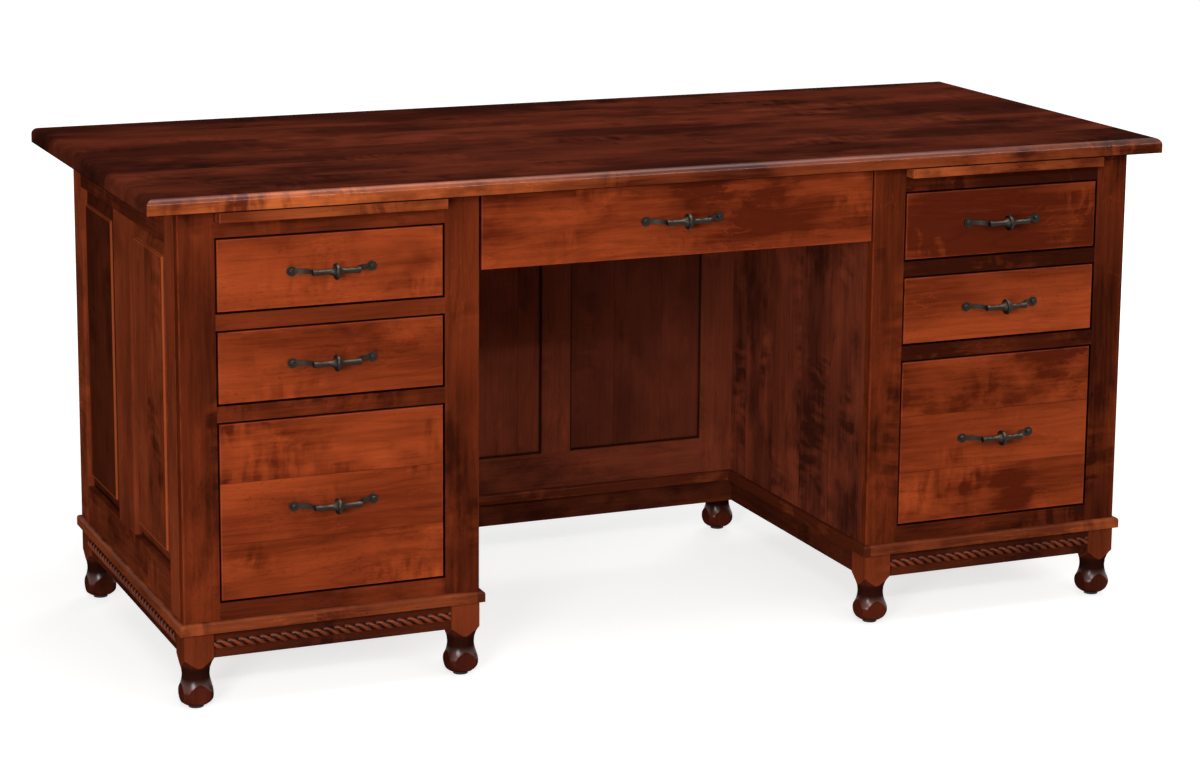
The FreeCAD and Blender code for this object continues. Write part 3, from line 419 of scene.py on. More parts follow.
def lay_over(tree, mask, colour, strength=1.0):
    """Lay a colour over the wood's own, as far as the mask and the strength say."""
    shown = tree.nodes["Principled BSDF"].inputs["Base Color"]
    share = reckon(tree, "MULTIPLY", mask, strength)
    tree.links.new(tinted(tree, share, shown.links[0].from_socket, colour), shown)


ROPE_LIGHT = srgb(152, 70, 36)
ROPE_DARK = srgb(76, 30, 17)
ROPE_VALLEY_STAIN_AND_SHADE = srgb(26, 10, 7)


def rope_stain():
    """Stain on the rope strips: the height of a point over the apron is how near its distance from the
    strip's middle line comes to the full radius; the valleys are darkened, partly by gathered stain and
    partly as painted shade, and the tops of the strands keep the stain's own colour."""
    material = stained("rope stain", ROPE_LIGHT, ROPE_DARK, along_x_then_y, gloss=0.35, haze=0.32)
    tree = material.node_tree
    place = place_of(tree)
    out_front = reckon(tree, "SUBTRACT", ROPE_FRONT_Y, place[1])
    out_end = reckon(tree, "SUBTRACT", reckon(tree, "ABSOLUTE", place[0]), ROPE_END_X)
    out = reckon(tree, "MAXIMUM", out_front, out_end)
    rise = reckon(tree, "SUBTRACT", place[2], ROPE_HEIGHT)
    reach = reckon(tree, "MULTIPLY_ADD", out, out, reckon(tree, "MULTIPLY", rise, rise))
    valley = between(tree, reckon(tree, "SQRT", reach), ROPE_RADIUS - 0.0004, ROPE_VALLEY + 0.0008)
    # Darkens the valleys: gathered stain and painted shade.
    lay_over(tree, valley, ROPE_VALLEY_STAIN_AND_SHADE, 0.95)
    return material


rope_points, rope_faces = rope_strips()
rope = new_piece("rope_twist_strips", rope_points, rope_faces, rope_stain(), "case")
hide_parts("rope_mouldings")

# Base mouldings: mitred maple sticks with a rounded upper edge, pinned round the pedestals and along the
# modesty frame over the aprons. The stain was wiped thin on their faces, so they are lighter than the frames.

MOULDING_LIGHT = srgb(158, 76, 40)
MOULDING_DARK = srgb(82, 33, 18)
KNEE_LINE = 0.335
# Painted shade on the mouldings inside the kneehole.
KNEE_SHADE = -0.62


def moulding_sticks(tree):
    """Lay of the mouldings: as the aprons', with painted shade on the sticks that face the kneehole."""
    grain, _, joint = along_x_then_y(tree)
    in_kneehole = reckon(tree, "LESS_THAN", reckon(tree, "ABSOLUTE", place_of(tree)[0]), KNEE_LINE)
    return grain, reckon(tree, "MULTIPLY", in_kneehole, KNEE_SHADE), joint


finish(stained("moulding stain", MOULDING_LIGHT, MOULDING_DARK, moulding_sticks, figure=1.4, gloss=0.12,
               haze=0.25),
       "left_base_moulding", "right_base_moulding", "rear_base_moulding")

# Face frames: maple stiles and rails, doweled and glued, standing before the pedestals round the drawers. The
# stiles run from the moulding to the desktop, the rails between them.

FRAME_LIGHT = srgb(126, 51, 25)
FRAME_DARK = srgb(54, 19, 9)
PEDESTAL_MIDDLE = 0.559
RAIL_HALF = 0.175
RAILS_PER_METRE = 7.3
RAILS_START = 0.2
BOTTOM_RAIL = 1
STILES_PER_METRE = 5.0
BOARD_TONES = 0.18


def stiles_and_rails(rail_tone):
    """Lay of a face frame: along Z in the stiles, and along X where the distance from the desk's middle is
    within the rails' half length of the pedestal's middle. A number for each rail, from its height, and for
    each stile, from its place across, draws the board's own tone; the rails over the bottom one share
    a tone."""
    def lay(tree):
        place = place_of(tree)
        rail = reckon(tree, "COMPARE", reckon(tree, "ABSOLUTE", place[0]), PEDESTAL_MIDDLE, RAIL_HALF)
        level = reckon(tree, "FLOOR", reckon(tree, "MULTIPLY_ADD", place[2], RAILS_PER_METRE, RAILS_START))
        level = reckon(tree, "MULTIPLY", level, rail)
        upper = reckon(tree, "GREATER_THAN", level, BOTTOM_RAIL + 0.5)
        per_metre = reckon(tree, "MULTIPLY_ADD", rail, 1.0 - STILES_PER_METRE, STILES_PER_METRE)
        across = reckon(tree, "FLOOR", reckon(tree, "MULTIPLY", place[0], per_metre))
        board = add(tree, "CombineXYZ", {0: across, 1: level, 2: rail}).outputs[0]
        chance = add(tree, "TexWhiteNoise", {"Vector": board}, noise_dimensions="3D").outputs["Value"]
        tone = reckon(tree, "MULTIPLY", reckon(tree, "SUBTRACT", chance, 0.5), BOARD_TONES)
        tone = reckon(tree, "MULTIPLY_ADD", upper, rail_tone, tone)
        return chosen(tree, rail, fibre_along(tree, "z"), fibre_along(tree, "x", (0.7, 0.3, 0.0))), tone, None
    return lay


# Painted shade for the gaps round the drawers.
GAP_SHADE = srgb(22, 8, 6)
EDGE_FACING = (0.80, 0.40)
OPENING_EDGE = 0.0008


def gap_shaded(material, strength, openings_only):
    """Paint shade on the narrow faces that do not look to the front, in the gaps round the drawers; on a face
    frame only on those that lie within the pedestal's openings."""
    tree = material.node_tree
    edgewise = between(tree, reckon(tree, "ABSOLUTE", facing_of(tree)[1]), *EDGE_FACING)
    if openings_only:
        from_middle = reckon(tree, "ABSOLUTE", place_of(tree)[0])
        opening = reckon(tree, "COMPARE", from_middle, PEDESTAL_MIDDLE, RAIL_HALF + OPENING_EDGE)
        edgewise = reckon(tree, "MULTIPLY", edgewise, opening)
    lay_over(tree, edgewise, GAP_SHADE, strength)
    return material


# The right frame's lower tones and darker upper rails are painted shade, where the light falls off towards
# the right.
for side, tone, rail_tone, figure in (("left", -0.06, 0.06, 1.1), ("right", -0.20, -0.28, 1.2)):
    frame_stain = stained(f"{side} face frame stain", FRAME_LIGHT, FRAME_DARK, stiles_and_rails(rail_tone),
                          tone, figure, paled=f"{side}_face_frame")
    finish(gap_shaded(frame_stain, 0.9, True), f"{side}_face_frame")

# Framed walls: the ends, the backs of the pedestals and the modesty wall are frames of stiles, rails and, on
# the wider ones, a mullion, all doweled and glued round raised panels that stand free in their grooves.

RAIL_EDGES = (0.195, 0.688)


def framed_wall(along, middle, half, rail_tone=0.0):
    """Lay of a wall's frame: along Z in the stiles, which lie further than the half from the middle of the
    rails, and in the mullion, which stands between the rails' edges; along the wall elsewhere."""
    def lay(tree):
        place = place_of(tree)
        spot = place["xy".index(along)]
        if middle > 0:
            spot = reckon(tree, "ABSOLUTE", spot)
        in_rails = reckon(tree, "COMPARE", spot, middle, half)
        low, high = RAIL_EDGES
        in_opening = reckon(tree, "COMPARE", place[2], (low + high) / 2, (high - low) / 2)
        upright = reckon(tree, "MAXIMUM", in_opening, reckon(tree, "SUBTRACT", 1.0, in_rails))
        lengthwise = fibre_along(tree, along, (0.2, 0.0, 0.5))
        tone = reckon(tree, "MULTIPLY", reckon(tree, "SUBTRACT", 1.0, upright), rail_tone)
        return chosen(tree, upright, lengthwise, fibre_along(tree, "z")), tone, None
    return lay


END_LIGHT = srgb(152, 68, 37)
END_DARK = srgb(76, 30, 17)
END_FRAME_MIDDLE = -0.01125
END_FRAME_HALF = 0.255
# Painted shade on the rails of the ends, darker than their stiles and panels.
END_RAIL_SHADE = -0.34
BACK_FRAME_MIDDLE = 0.5575
BACK_FRAME_HALF = 0.1535
KNEEHOLE_LIGHT = srgb(128, 58, 37)
KNEEHOLE_DARK = srgb(62, 27, 18)
MODESTY_HALF = 0.270
SIDES = ("left", "right")
for side in SIDES:
    finish(stained(f"{side} end frame stain", END_LIGHT, END_DARK,
                   framed_wall("y", END_FRAME_MIDDLE, END_FRAME_HALF, END_RAIL_SHADE),
                   paled=f"{side}_end_frame", gloss=0.0),
           f"{side}_end_frame")
finish(stained("back frame stain", FRAME_LIGHT, FRAME_DARK,
               framed_wall("x", BACK_FRAME_MIDDLE, BACK_FRAME_HALF)), "back_frames")
finish(stained("modesty frame stain", KNEEHOLE_LIGHT, KNEEHOLE_DARK, framed_wall("x", 0.0, MODESTY_HALF),
               tone=0.14), "modesty_frame")

# Raised panels and knee panels: maple boards glued edge to edge, the panels raised by a sloped border and let
# into the frames unglued, the plain knee panels glued between the frames to close the pedestals.


def glued_boards_group():
    """Boards side by side: a board's number is the whole part of the place across over the width. The number
    gives each board its own shift of the grain and its own tone; the joint is where the fraction wraps
    round."""
    tree, given, result = new_group(
        "glued boards", {"Grain": "Vector", "Across": "Float", "Board Width": "Float"},
        {"Grain": "Vector", "Tone": "Float", "Joint": "Float"})
    place = reckon(tree, "DIVIDE", given["Across"], given["Board Width"])
    chance = add(tree, "TexWhiteNoise", {"W": reckon(tree, "FLOOR", place)}, noise_dimensions="1D")
    shift = add(tree, "VectorMath", {0: chance.outputs["Color"], 1: (5.0, 5.0, 5.0), 2: given["Grain"]},
                operation="MULTIPLY_ADD").outputs[0]
    fraction = reckon(tree, "FRACT", place)
    nearest = reckon(tree, "MINIMUM", fraction, reckon(tree, "SUBTRACT", 1.0, fraction))
    edge = reckon(tree, "MULTIPLY", nearest, given["Board Width"])
    tree.links.new(shift, result["Grain"])
    tree.links.new(reckon(tree, "SUBTRACT", chance.outputs["Value"], 0.5), result["Tone"])
    tree.links.new(between(tree, edge, 0.0009, 0.0002), result["Joint"])
    return tree


glued_boards = glued_boards_group()


def glued(axis, across, width, start=0.0, contrast=0.12):
    """Lay of boards glued side by side: the fibre runs along one axis, the boards follow each other on
    another."""
    def lay(tree):
        place = reckon(tree, "SUBTRACT", place_of(tree)["xyz".index(across)], start)
        boards = add(tree, "Group", {"Grain": fibre_along(tree, axis), "Across": place, "Board Width": width},
                     node_tree=glued_boards).outputs
        return boards["Grain"], reckon(tree, "MULTIPLY", boards["Tone"], contrast), boards["Joint"]
    return lay


def inside_of(tree, spots, middles, halves):
    """How far a point lies inside a rectangle: the least, over its two ways, of half its size less the
    distance from its middle."""
    depths = []
    for spot, middle, half in zip(spots, middles, halves):
        away = reckon(tree, "ABSOLUTE", reckon(tree, "SUBTRACT", spot, middle))
        depths.append(reckon(tree, "SUBTRACT", half, away))
    return reckon(tree, "MINIMUM", *depths)


PANEL_BOARD = 0.088
PANEL_JOINT = 0.02
PANEL_BORDER = 0.025
END_JOINT = 0.03
END_FIELD_MIDDLE = (0.151, 0.4415)
END_FIELD_HALF = (0.079, 0.2215)
SHOULDER_WIDTH = (0.0022, 0.0006)
SHOULDER_SCUFF_AND_HIGHLIGHT = srgb(176, 84, 44)
GROOVE_STAIN_AND_SHADE = srgb(30, 11, 8)
REAR_PANEL_STAIN = srgb(52, 20, 12)


def end_panel_stain():
    """Stain on the raised panels of the ends. The shoulder round the raised field is paled, partly scuffed
    and partly a painted highlight, and where the sloped border runs into the groove it is darkened, partly
    gathered stain and partly painted shade. The rear panel is of darker boards."""
    material = stained("end panel stain", END_LIGHT, END_DARK, glued("z", "y", PANEL_BOARD, END_JOINT), -0.08,
                       gloss=0.0)
    tree = material.node_tree
    place = place_of(tree)
    along = reckon(tree, "ABSOLUTE", reckon(tree, "SUBTRACT", place[1], END_FRAME_MIDDLE))
    inside = inside_of(tree, (along, place[2]), END_FIELD_MIDDLE, END_FIELD_HALF)
    paled = between(tree, reckon(tree, "ABSOLUTE", inside), *SHOULDER_WIDTH)
    gathered = between(tree, inside, 0.012 - PANEL_BORDER, 0.001 - PANEL_BORDER)
    lay_over(tree, reckon(tree, "GREATER_THAN", place[1], END_FRAME_MIDDLE), REAR_PANEL_STAIN, 0.70)
    # Painted highlight, partly scuffing, on the shoulder.
    lay_over(tree, paled, SHOULDER_SCUFF_AND_HIGHLIGHT, 0.7)
    # Gathered stain and painted shade along the groove.
    lay_over(tree, gathered, GROOVE_STAIN_AND_SHADE, 0.7)
    return material


BACK_PANEL_LIGHT = srgb(112, 48, 28)
BACK_PANEL_DARK = srgb(54, 22, 14)
finish(end_panel_stain(), "left_end_panels", "right_end_panels")
finish(stained("back panel stain", BACK_PANEL_LIGHT, BACK_PANEL_DARK,
               glued("z", "x", PANEL_BOARD, PANEL_JOINT)), "back_panels")

MODESTY_OPENING_MIDDLE = (0.148, 0.4415)
MODESTY_OPENING_HALF = (0.122, 0.2465)
MODESTY_LINE = (0.0060, 0.0015)
MODESTY_SHADE_LINE = srgb(18, 7, 5)
RIGHT_PANEL_SHADE = srgb(44, 18, 12)


def modesty_panel_stain():
    """Stain on the panels behind the kneehole, with a line of painted shade along the edges of the frame's
    openings and painted shade over the right panel."""
    material = stained("modesty panel stain", KNEEHOLE_LIGHT, KNEEHOLE_DARK,
                       glued("z", "x", PANEL_BOARD, PANEL_JOINT, 0.05), tone=0.02, figure=0.7)
    tree = material.node_tree
    place = place_of(tree)
    from_middle = reckon(tree, "ABSOLUTE", place[0])
    inside = inside_of(tree, (from_middle, place[2]), MODESTY_OPENING_MIDDLE, MODESTY_OPENING_HALF)
    # Painted shade: the right panel darker, and a shade line round the openings.
    lay_over(tree, reckon(tree, "GREATER_THAN", place[0], 0.0), RIGHT_PANEL_SHADE, 0.45)
    lay_over(tree, between(tree, inside, *MODESTY_LINE), MODESTY_SHADE_LINE, 0.85)
    return material


KNEE_BOARD = 0.104
KNEE_JOINT = 0.01
finish(modesty_panel_stain(), "modesty_panels")
finish(stained("knee panel stain", KNEEHOLE_LIGHT, KNEEHOLE_DARK, glued("z", "y", KNEE_BOARD, KNEE_JOINT),
               figure=1.4), "knee_panels")

# Inner boards: the pedestals' floors, the cleats that hold the desktop, the runners of the writing boards and
# the battens behind the slides, all of plain wood, sanded and left without stain.

RAW_LIGHT = srgb(196, 160, 116)
RAW_DARK = srgb(150, 112, 74)
finish(stained("bare floor wood", RAW_LIGHT, RAW_DARK, whole_board("x"), figure=0.6, gloss=0.0),
       "pedestal_floors")
finish(stained("bare batten wood", RAW_LIGHT, RAW_DARK, whole_board("y"), figure=0.6, gloss=0.0),
       "top_cleats", "writing_board_runners", "slide_spacers")

# Drawer slides and hanging rails: steel strip rolled to channels and plated with zinc, screwed to the battens
# and to the drawer sides; folded rails lie over the sides of the file drawers.

ZINC = srgb(178, 180, 182)
ZINC_SPANGLE = tuple(0.72 * part for part in ZINC)
GREASE = srgb(96, 92, 82)


def zinc_plate():
    """Zinc on rolled steel: faint lines drawn along the channel, cloudy spangle and duller patches."""
    material, tree = bare_material("slide zinc")
    point = object_point(tree)
    drawn = mottle(tree, point, (900.0, 6.0, 900.0), 2.0)
    spangle = between(tree, mottle(tree, point, (160.0, 90.0, 160.0)), 0.35, 0.65)
    grease = between(tree, mottle(tree, point, (30.0, 12.0, 30.0), 4.0), 0.52, 0.72)
    shown = tinted(tree, reckon(tree, "MULTIPLY", spangle, 0.3), ZINC, ZINC_SPANGLE)
    shown = tinted(tree, reckon(tree, "MULTIPLY", grease, 0.35), shown, GREASE)
    rough = reckon(tree, "MULTIPLY_ADD", drawn, 0.18, reckon(tree, "MULTIPLY_ADD", grease, 0.15, 0.24))
    relief = add(tree, "Bump", {"Strength": 0.15, "Distance": 0.0001, "Height": drawn})
    shader = add(tree, "BsdfPrincipled", {"Base Color": shown, "Metallic": 1.0, "Roughness": rough,
                                          "Normal": relief.outputs[0]})
    add(tree, "OutputMaterial", {"Surface": shader.outputs[0]})
    return material


PEDESTAL_DRAWERS = [f"{side}_{level}_drawer" for side in SIDES for level in ("top", "middle", "file")]
DRAWERS = PEDESTAL_DRAWERS + ["centre_drawer"]
finish(zinc_plate(), "cabinet_slide_members", *(f"{drawer}_slides" for drawer in DRAWERS),
       *(f"{side}_file_drawer_{part}" for side in SIDES for part in ("mid_slides", "hang_rails")))

# Drawer boxes: maple sides, inner front and back, dovetailed at the front corners, with a thin bottom in a
# groove, sealed with clear lacquer and not stained.

BOX_LIGHT = srgb(222, 190, 146)
BOX_DARK = srgb(176, 136, 92)
BOX_FRONT = -0.31425
BOX_THICK = 0.012
DOVETAIL_PITCH = 0.024
PIN_HALF = 0.26
PIN_TAPER = -0.11
END_GRAIN = srgb(158, 116, 74)


def box_maple():
    """Clear maple with dovetails at the front corners: on the outer faces of the sides, within the thickness
    of the inner front, a row of end-grain pins, each narrower the deeper it lies behind the front."""
    material = stained("clear maple", BOX_LIGHT, BOX_DARK, along_x_then_y, figure=0.7)
    tree = material.node_tree
    place = place_of(tree)
    depth = reckon(tree, "DIVIDE", reckon(tree, "SUBTRACT", place[1], BOX_FRONT), BOX_THICK)
    row = reckon(tree, "FRACT", reckon(tree, "DIVIDE", place[2], DOVETAIL_PITCH))
    from_middle = reckon(tree, "ABSOLUTE", reckon(tree, "SUBTRACT", row, 0.5))
    pin = reckon(tree, "LESS_THAN", from_middle, reckon(tree, "MULTIPLY_ADD", depth, PIN_TAPER, PIN_HALF))
    joint = reckon(tree, "MULTIPLY", reckon(tree, "LESS_THAN", depth, 1.0), sideways(tree))
    lay_over(tree, reckon(tree, "MULTIPLY", pin, joint), END_GRAIN, 0.75)
    return material


finish(box_maple(), *(f"{drawer}_box" for drawer in DRAWERS))

# Drawer fronts: maple planks with eased edges, inset in the frames and screwed on from inside the boxes. Each
# is from another plank, so one is bright and the next dark; the deep file fronts are glued from three planks.

FRONT_LIGHT = srgb(172, 74, 36)
FRONT_DARK = srgb(86, 30, 14)
FILE_PLANK = 0.092
FILE_JOINT = 0.247
FILE_CONTRAST = 0.24
FRONT_LOOKS = {
    "left_top_drawer": (-0.02, 0.9), "left_middle_drawer": (-0.16, 1.0), "left_file_drawer": (-0.11, 1.0),
    "right_top_drawer": (-0.38, 1.2), "right_middle_drawer": (-0.04, 1.3), "right_file_drawer": (-0.10, 1.1),
    "centre_drawer": (-0.28, 1.3),
}
for number, (drawer, (tone, figure)) in enumerate(FRONT_LOOKS.items()):
    if "file" in drawer:
        plank = glued("x", "z", FILE_PLANK, FILE_JOINT, FILE_CONTRAST)
    else:
        plank = whole_board("x", (0.9 * number, 0.0, 0.31 * number))
    front_stain = stained(f"{drawer} front stain", FRONT_LIGHT, FRONT_DARK, plank, tone, figure,
                          paled=f"{drawer}_front", arris_paling=0.25)
    # The fronts' narrow faces get painted shade from the gaps.
    finish(gap_shaded(front_stain, 0.7, False), f"{drawer}_front")

# Pulls: white-metal castings under a gunmetal finish, each with a button plate at both ends, a bowed grip and
# a collar at its middle, held by screws through the drawer front. The upper sides are paler, a painted
# highlight.

GUNMETAL = srgb(40, 34, 29)
GUNMETAL_CLOUD = tuple(0.5 * part for part in GUNMETAL)
GUNMETAL_HIGHLIGHT = srgb(146, 136, 122)


def gunmetal_plating():
    """Gunmetal over a casting: cloudy dark plating with fine pits, with a painted highlight where the surface
    faces up."""
    material, tree = bare_material("gunmetal")
    point = object_point(tree)
    cloud = between(tree, mottle(tree, point, (140.0, 140.0, 140.0)), 0.35, 0.65)
    pits = mottle(tree, point, (900.0, 900.0, 900.0), 2.0)
    upward = between(tree, facing_of(tree)[2], 0.25, 0.95)
    paled = reckon(tree, "MULTIPLY", upward, reckon(tree, "MULTIPLY_ADD", cloud, 0.5, 0.2))
    shown = tinted(tree, reckon(tree, "MULTIPLY", cloud, 0.4), GUNMETAL, GUNMETAL_CLOUD)
    # Painted highlight on the upward faces.
    shown = tinted(tree, paled, shown, GUNMETAL_HIGHLIGHT)
    rough = reckon(tree, "MULTIPLY_ADD", pits, 0.16, reckon(tree, "MULTIPLY_ADD", cloud, 0.10, 0.28))
    relief = add(tree, "Bump", {"Strength": 0.25, "Distance": 0.0002, "Height": pits})
    shader = add(tree, "BsdfPrincipled", {"Base Color": shown, "Metallic": 0.85, "Roughness": rough,
                                          "Normal": relief.outputs[0]})
    add(tree, "OutputMaterial", {"Surface": shader.outputs[0]})
    return material


finish(gunmetal_plating(), *(f"{drawer}_pull" for drawer in DRAWERS))

# Writing boards: one maple leaf over each pedestal, sliding on runners under the desktop. Its front lip
# stands proud of the frame as a finger pull, where the stain is thin and bright.

LEAF_LIGHT = srgb(184, 92, 46)
LEAF_DARK = srgb(96, 38, 19)
LEAF_SHADOW_LINE = (0.0020, 0.0008)
# Painted shadow line, under the desktop and along the leaf's top.
SHADOW_LINE_COLOUR = srgb(30, 11, 8)
OUTWARD_FACING = (0.95, 0.80)


def shadow_lined(material, shade_start, shade_full):
    """Paint a shadow line along a joint: none at the first height and full at the second, on faces that look
    outwards."""
    tree = material.node_tree
    height = place_of(tree)[2]
    outward = between(tree, reckon(tree, "ABSOLUTE", facing_of(tree)[2]), *OUTWARD_FACING)
    lay_over(tree, reckon(tree, "MULTIPLY", between(tree, height, shade_start, shade_full), outward), SHADOW_LINE_COLOUR)
    return material


for number, side in enumerate(SIDES):
    leaf = f"{side}_writing_board"
    leaf_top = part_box(leaf)[1].z
    leaf_stain = stained(f"{side} leaf stain", LEAF_LIGHT, LEAF_DARK,
                         whole_board("x", (0.37 + number, 0.0, 0.6)),
                         tone=-0.22, figure=1.3, paled=leaf, arris_paling=0.15)
    # A painted shadow line along the leaf's top, under the desktop.
    finish(shadow_lined(leaf_stain, *(leaf_top - below for below in LEAF_SHADOW_LINE)), leaf)

# Desktop: maple boards glued edge to edge to one slab, its upper edge rounded over all round, held down from
# below through the cleats. The flat is darker than the rounded front edge, partly stain and partly painted
# light on the edge that faces the lamps.

TOP_LIGHT = srgb(119, 52, 34)
TOP_DARK = srgb(45, 19, 14)
EDGE_LIGHT = srgb(184, 92, 46)
EDGE_DARK = srgb(92, 35, 17)
TOP_CLOUD = srgb(40, 17, 13)
FAR_EDGE_SHADED_LIGHT = srgb(144, 66, 33)
FAR_EDGE_SHADED_DARK = srgb(70, 26, 13)
EDGE_SHADE_FADE = (-0.70, 0.20)
FRONTWARD_FACING = (-0.02, -0.20)
FLAT_RISE = (0.997, 0.90)
TOP_BOARD = 0.122
TOP_JOINT = -0.238
TOP_CONTRAST = 0.24
TOP_FIGURE = 0.95
EDGE_FIGURE = 1.8
SLAB_SHADOW_LINE = (0.0016, 0.0004)


def desktop_stain():
    """Two stains on one grain: the edge's on the front edge, where the surface looks to the sitter, and the
    flat's elsewhere, with clouds where the slab drank more. The front edge is lighter than the flat partly
    from its stain and partly as painted light, the lamps falling on it, and it darkens towards the right as
    painted shade, where the light falls off. Only the front edge still has its gloss."""
    material = stained("desktop stain", TOP_LIGHT, TOP_DARK,
                       glued("x", "y", TOP_BOARD, TOP_JOINT, TOP_CONTRAST), gloss=0.7, haze=0.12)
    tree = material.node_tree
    facing = facing_of(tree)
    edge = reckon(tree, "MULTIPLY", between(tree, facing[1], *FRONTWARD_FACING),
                  between(tree, facing[2], *FLAT_RISE))
    coat = tree.nodes["Principled BSDF"].inputs["Coat Weight"]
    tree.links.new(reckon(tree, "MULTIPLY", coat.links[0].from_socket, edge), coat)
    # Painted shade: the edge darkens towards the right, where the light falls off.
    rightward_shade = between(tree, place_of(tree)[0], *EDGE_SHADE_FADE)
    light = tinted(tree, rightward_shade, EDGE_LIGHT, FAR_EDGE_SHADED_LIGHT)
    dark = tinted(tree, rightward_shade, EDGE_DARK, FAR_EDGE_SHADED_DARK)
    figure = reckon(tree, "MULTIPLY_ADD", edge, EDGE_FIGURE - TOP_FIGURE, TOP_FIGURE)
    wood = tree.nodes["wood"]
    tree.links.new(figure, wood.inputs["Figure"])
    # The front edge's lighter stains are partly painted light.
    tree.links.new(tinted(tree, edge, TOP_LIGHT, light), wood.inputs["Light Stain"])
    tree.links.new(tinted(tree, edge, TOP_DARK, dark), wood.inputs["Dark Stain"])
    clouds = between(tree, mottle(tree, object_point(tree), (3.5, 11.0, 11.0), 4.0), 0.46, 0.66)
    clouds = reckon(tree, "MULTIPLY", clouds, reckon(tree, "SUBTRACT", 1.0, edge))
    lay_over(tree, clouds, TOP_CLOUD, 0.65)
    return material


slab_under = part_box("desktop")[0].z
# A painted shadow line along the slab's lower arris.
finish(shadow_lined(desktop_stain(), *(slab_under + above for above in SLAB_SHADOW_LINE)), "desktop")

# Floor: a plain pale sheet under the desk, white to the camera but for the desk's shadow.

FLOOR_REACH = 40.0
FLOOR_DROP = -0.0002
PAPER = (srgb(196, 195, 193), srgb(204, 203, 201))
WHITE = (1.0, 1.0, 1.0, 1.0)


def floor_sheet():
    """A flat square sheet just under the glides."""
    mesh = bpy.data.meshes.new("floor")
    turns = ((-1, -1), (1, -1), (1, 1), (-1, 1))
    mesh.from_pydata([(x * FLOOR_REACH, y * FLOOR_REACH, FLOOR_DROP) for x, y in turns], [], [(0, 1, 2, 3)])
    sheet = bpy.data.objects.new("floor", mesh)
    bpy.context.scene.collection.objects.link(sheet)
    return sheet


def looked_at(tree):
    """1 where the camera sees a thing, directly, in a reflection or through glass."""
    seen = add(tree, "LightPath").outputs
    indirect = reckon(tree, "ADD", seen["Is Glossy Ray"], seen["Is Transmission Ray"])
    return reckon(tree, "ADD", seen["Is Camera Ray"], indirect)


def floor_paper():
    """Pale paper: it scatters the light that falls on it, and to the camera and in reflections it glows as
    well, so that it is white where lit and grey where the desk's shadow lies."""
    material, tree = bare_material("floor paper")
    speckle = mottle(tree, object_point(tree), (40.0, 40.0, 40.0))
    paper = add(tree, "BsdfDiffuse", {"Color": tinted(tree, speckle, *PAPER)})
    away = add(tree, "VectorMath", {0: object_point(tree)}, operation="LENGTH").outputs["Value"]
    strength = reckon(tree, "MULTIPLY_ADD", between(tree, away, 0.8, 2.6), 0.28, 0.72)
    glow = add(tree, "Emission", {"Color": WHITE, "Strength": strength})
    both = add(tree, "AddShader", {0: paper.outputs[0], 1: glow.outputs[0]})
    mixed = add(tree, "MixShader", {0: looked_at(tree), 1: paper.outputs[0], 2: both.outputs[0]})
    add(tree, "OutputMaterial", {"Surface": mixed.outputs[0]})
    return material


floor = floor_sheet()
floor.data.materials.append(floor_paper())

# Light: soft boxes in front, at the left and overhead, a strip that draws the highlights along the edges, a
# low fill behind for the visitor's side, and a dim room that is white where it is looked at.


def soft_box(name, place, aim, size, power):
    """A lamp of the given width and height that looks from its place at the aim."""
    light = bpy.data.lights.new(name, "AREA")
    light.shape = "RECTANGLE"
    light.size, light.size_y = size
    light.energy = power
    lamp = bpy.data.objects.new(name, light)
    lamp.location = place
    towards = np.array(aim) - np.array(place)
    tilt = math.pi / 2 + math.atan2(towards[2], math.hypot(towards[0], towards[1]))
    lamp.rotation_euler = (tilt, 0.0, math.atan2(-towards[0], towards[1]))
    bpy.context.scene.collection.objects.link(lamp)


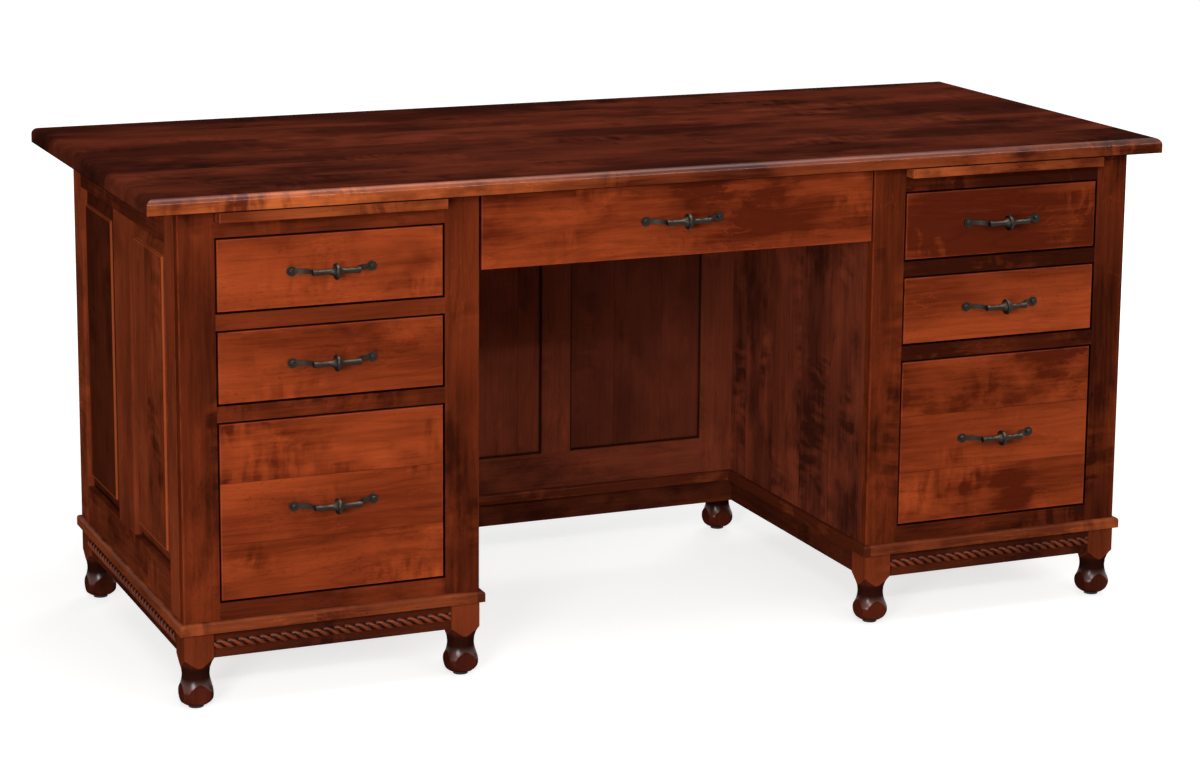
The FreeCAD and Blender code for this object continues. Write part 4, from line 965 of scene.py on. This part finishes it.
soft_box("key", (-1.6, -4.4, 2.7), (0.0, 0.0, 0.45), (0.9, 0.9), 52.0)
soft_box("side light", (-2.8, -3.4, 1.2), (-0.3, 0.0, 0.4), (1.1, 1.1), 92.0)
soft_box("front strip", (1.7, -4.4, 2.6), (1.7, 0.0, 0.6), (4.2, 0.12), 46.0)
soft_box("overhead", (0.35, -0.4, 3.3), (0.35, 0.0, 0.7), (3.2, 1.6), 41.0)
soft_box("back fill", (2.8, 3.6, 2.6), (0.2, 0.1, 0.4), (2.4, 1.4), 60.0)

ROOM_DARK = 0.03
ROOM_FRONT = 0.12
ROOM_OVERHEAD = 0.10
world = bpy.data.worlds.new("dim room")
bpy.context.scene.world = world
world.use_nodes = True
room = world.node_tree
room.nodes.clear()
looking = parts_of(room, add(room, "TexCoord").outputs["Generated"])
forward = reckon(room, "MULTIPLY_ADD", between(room, looking[1], 0.3, -0.6), ROOM_FRONT, ROOM_DARK)
overhead = reckon(room, "MULTIPLY", between(room, looking[2], 0.2, 0.9), ROOM_OVERHEAD)
shown = reckon(room, "MAXIMUM", reckon(room, "ADD", forward, overhead), looked_at(room))
backdrop = add(room, "Background", {"Color": WHITE, "Strength": shown})
add(room, "OutputWorld", {"Surface": backdrop.outputs[0]})

# Camera: in front and to the left of the desk, a little above its top, with a long lens.

CAMERA_PLACE = (-1.9087, -4.5129, 1.5193)
CAMERA_YAW = 22.995
CAMERA_PITCH = 11.064
CAMERA_ROLL = 0.470
CAMERA_SENSOR = 36.0
CAMERA_LENS = 92.10
CAMERA_SHIFT = -0.1
camera_data = bpy.data.cameras.new("camera")
camera_data.sensor_width = CAMERA_SENSOR
camera_data.lens = CAMERA_LENS
camera_data.shift_y = CAMERA_SHIFT
camera = bpy.data.objects.new("camera", camera_data)
yaw = Matrix.Rotation(math.radians(-CAMERA_YAW), 4, "Z")
pitch = Matrix.Rotation(math.radians(90 - CAMERA_PITCH), 4, "X")
roll = Matrix.Rotation(math.radians(CAMERA_ROLL), 4, "Z")
camera.matrix_world = Matrix.Translation(CAMERA_PLACE) @ yaw @ pitch @ roll
bpy.context.scene.collection.objects.link(camera)
bpy.context.scene.camera = camera
bpy.context.scene.view_settings.view_transform = "Standard"
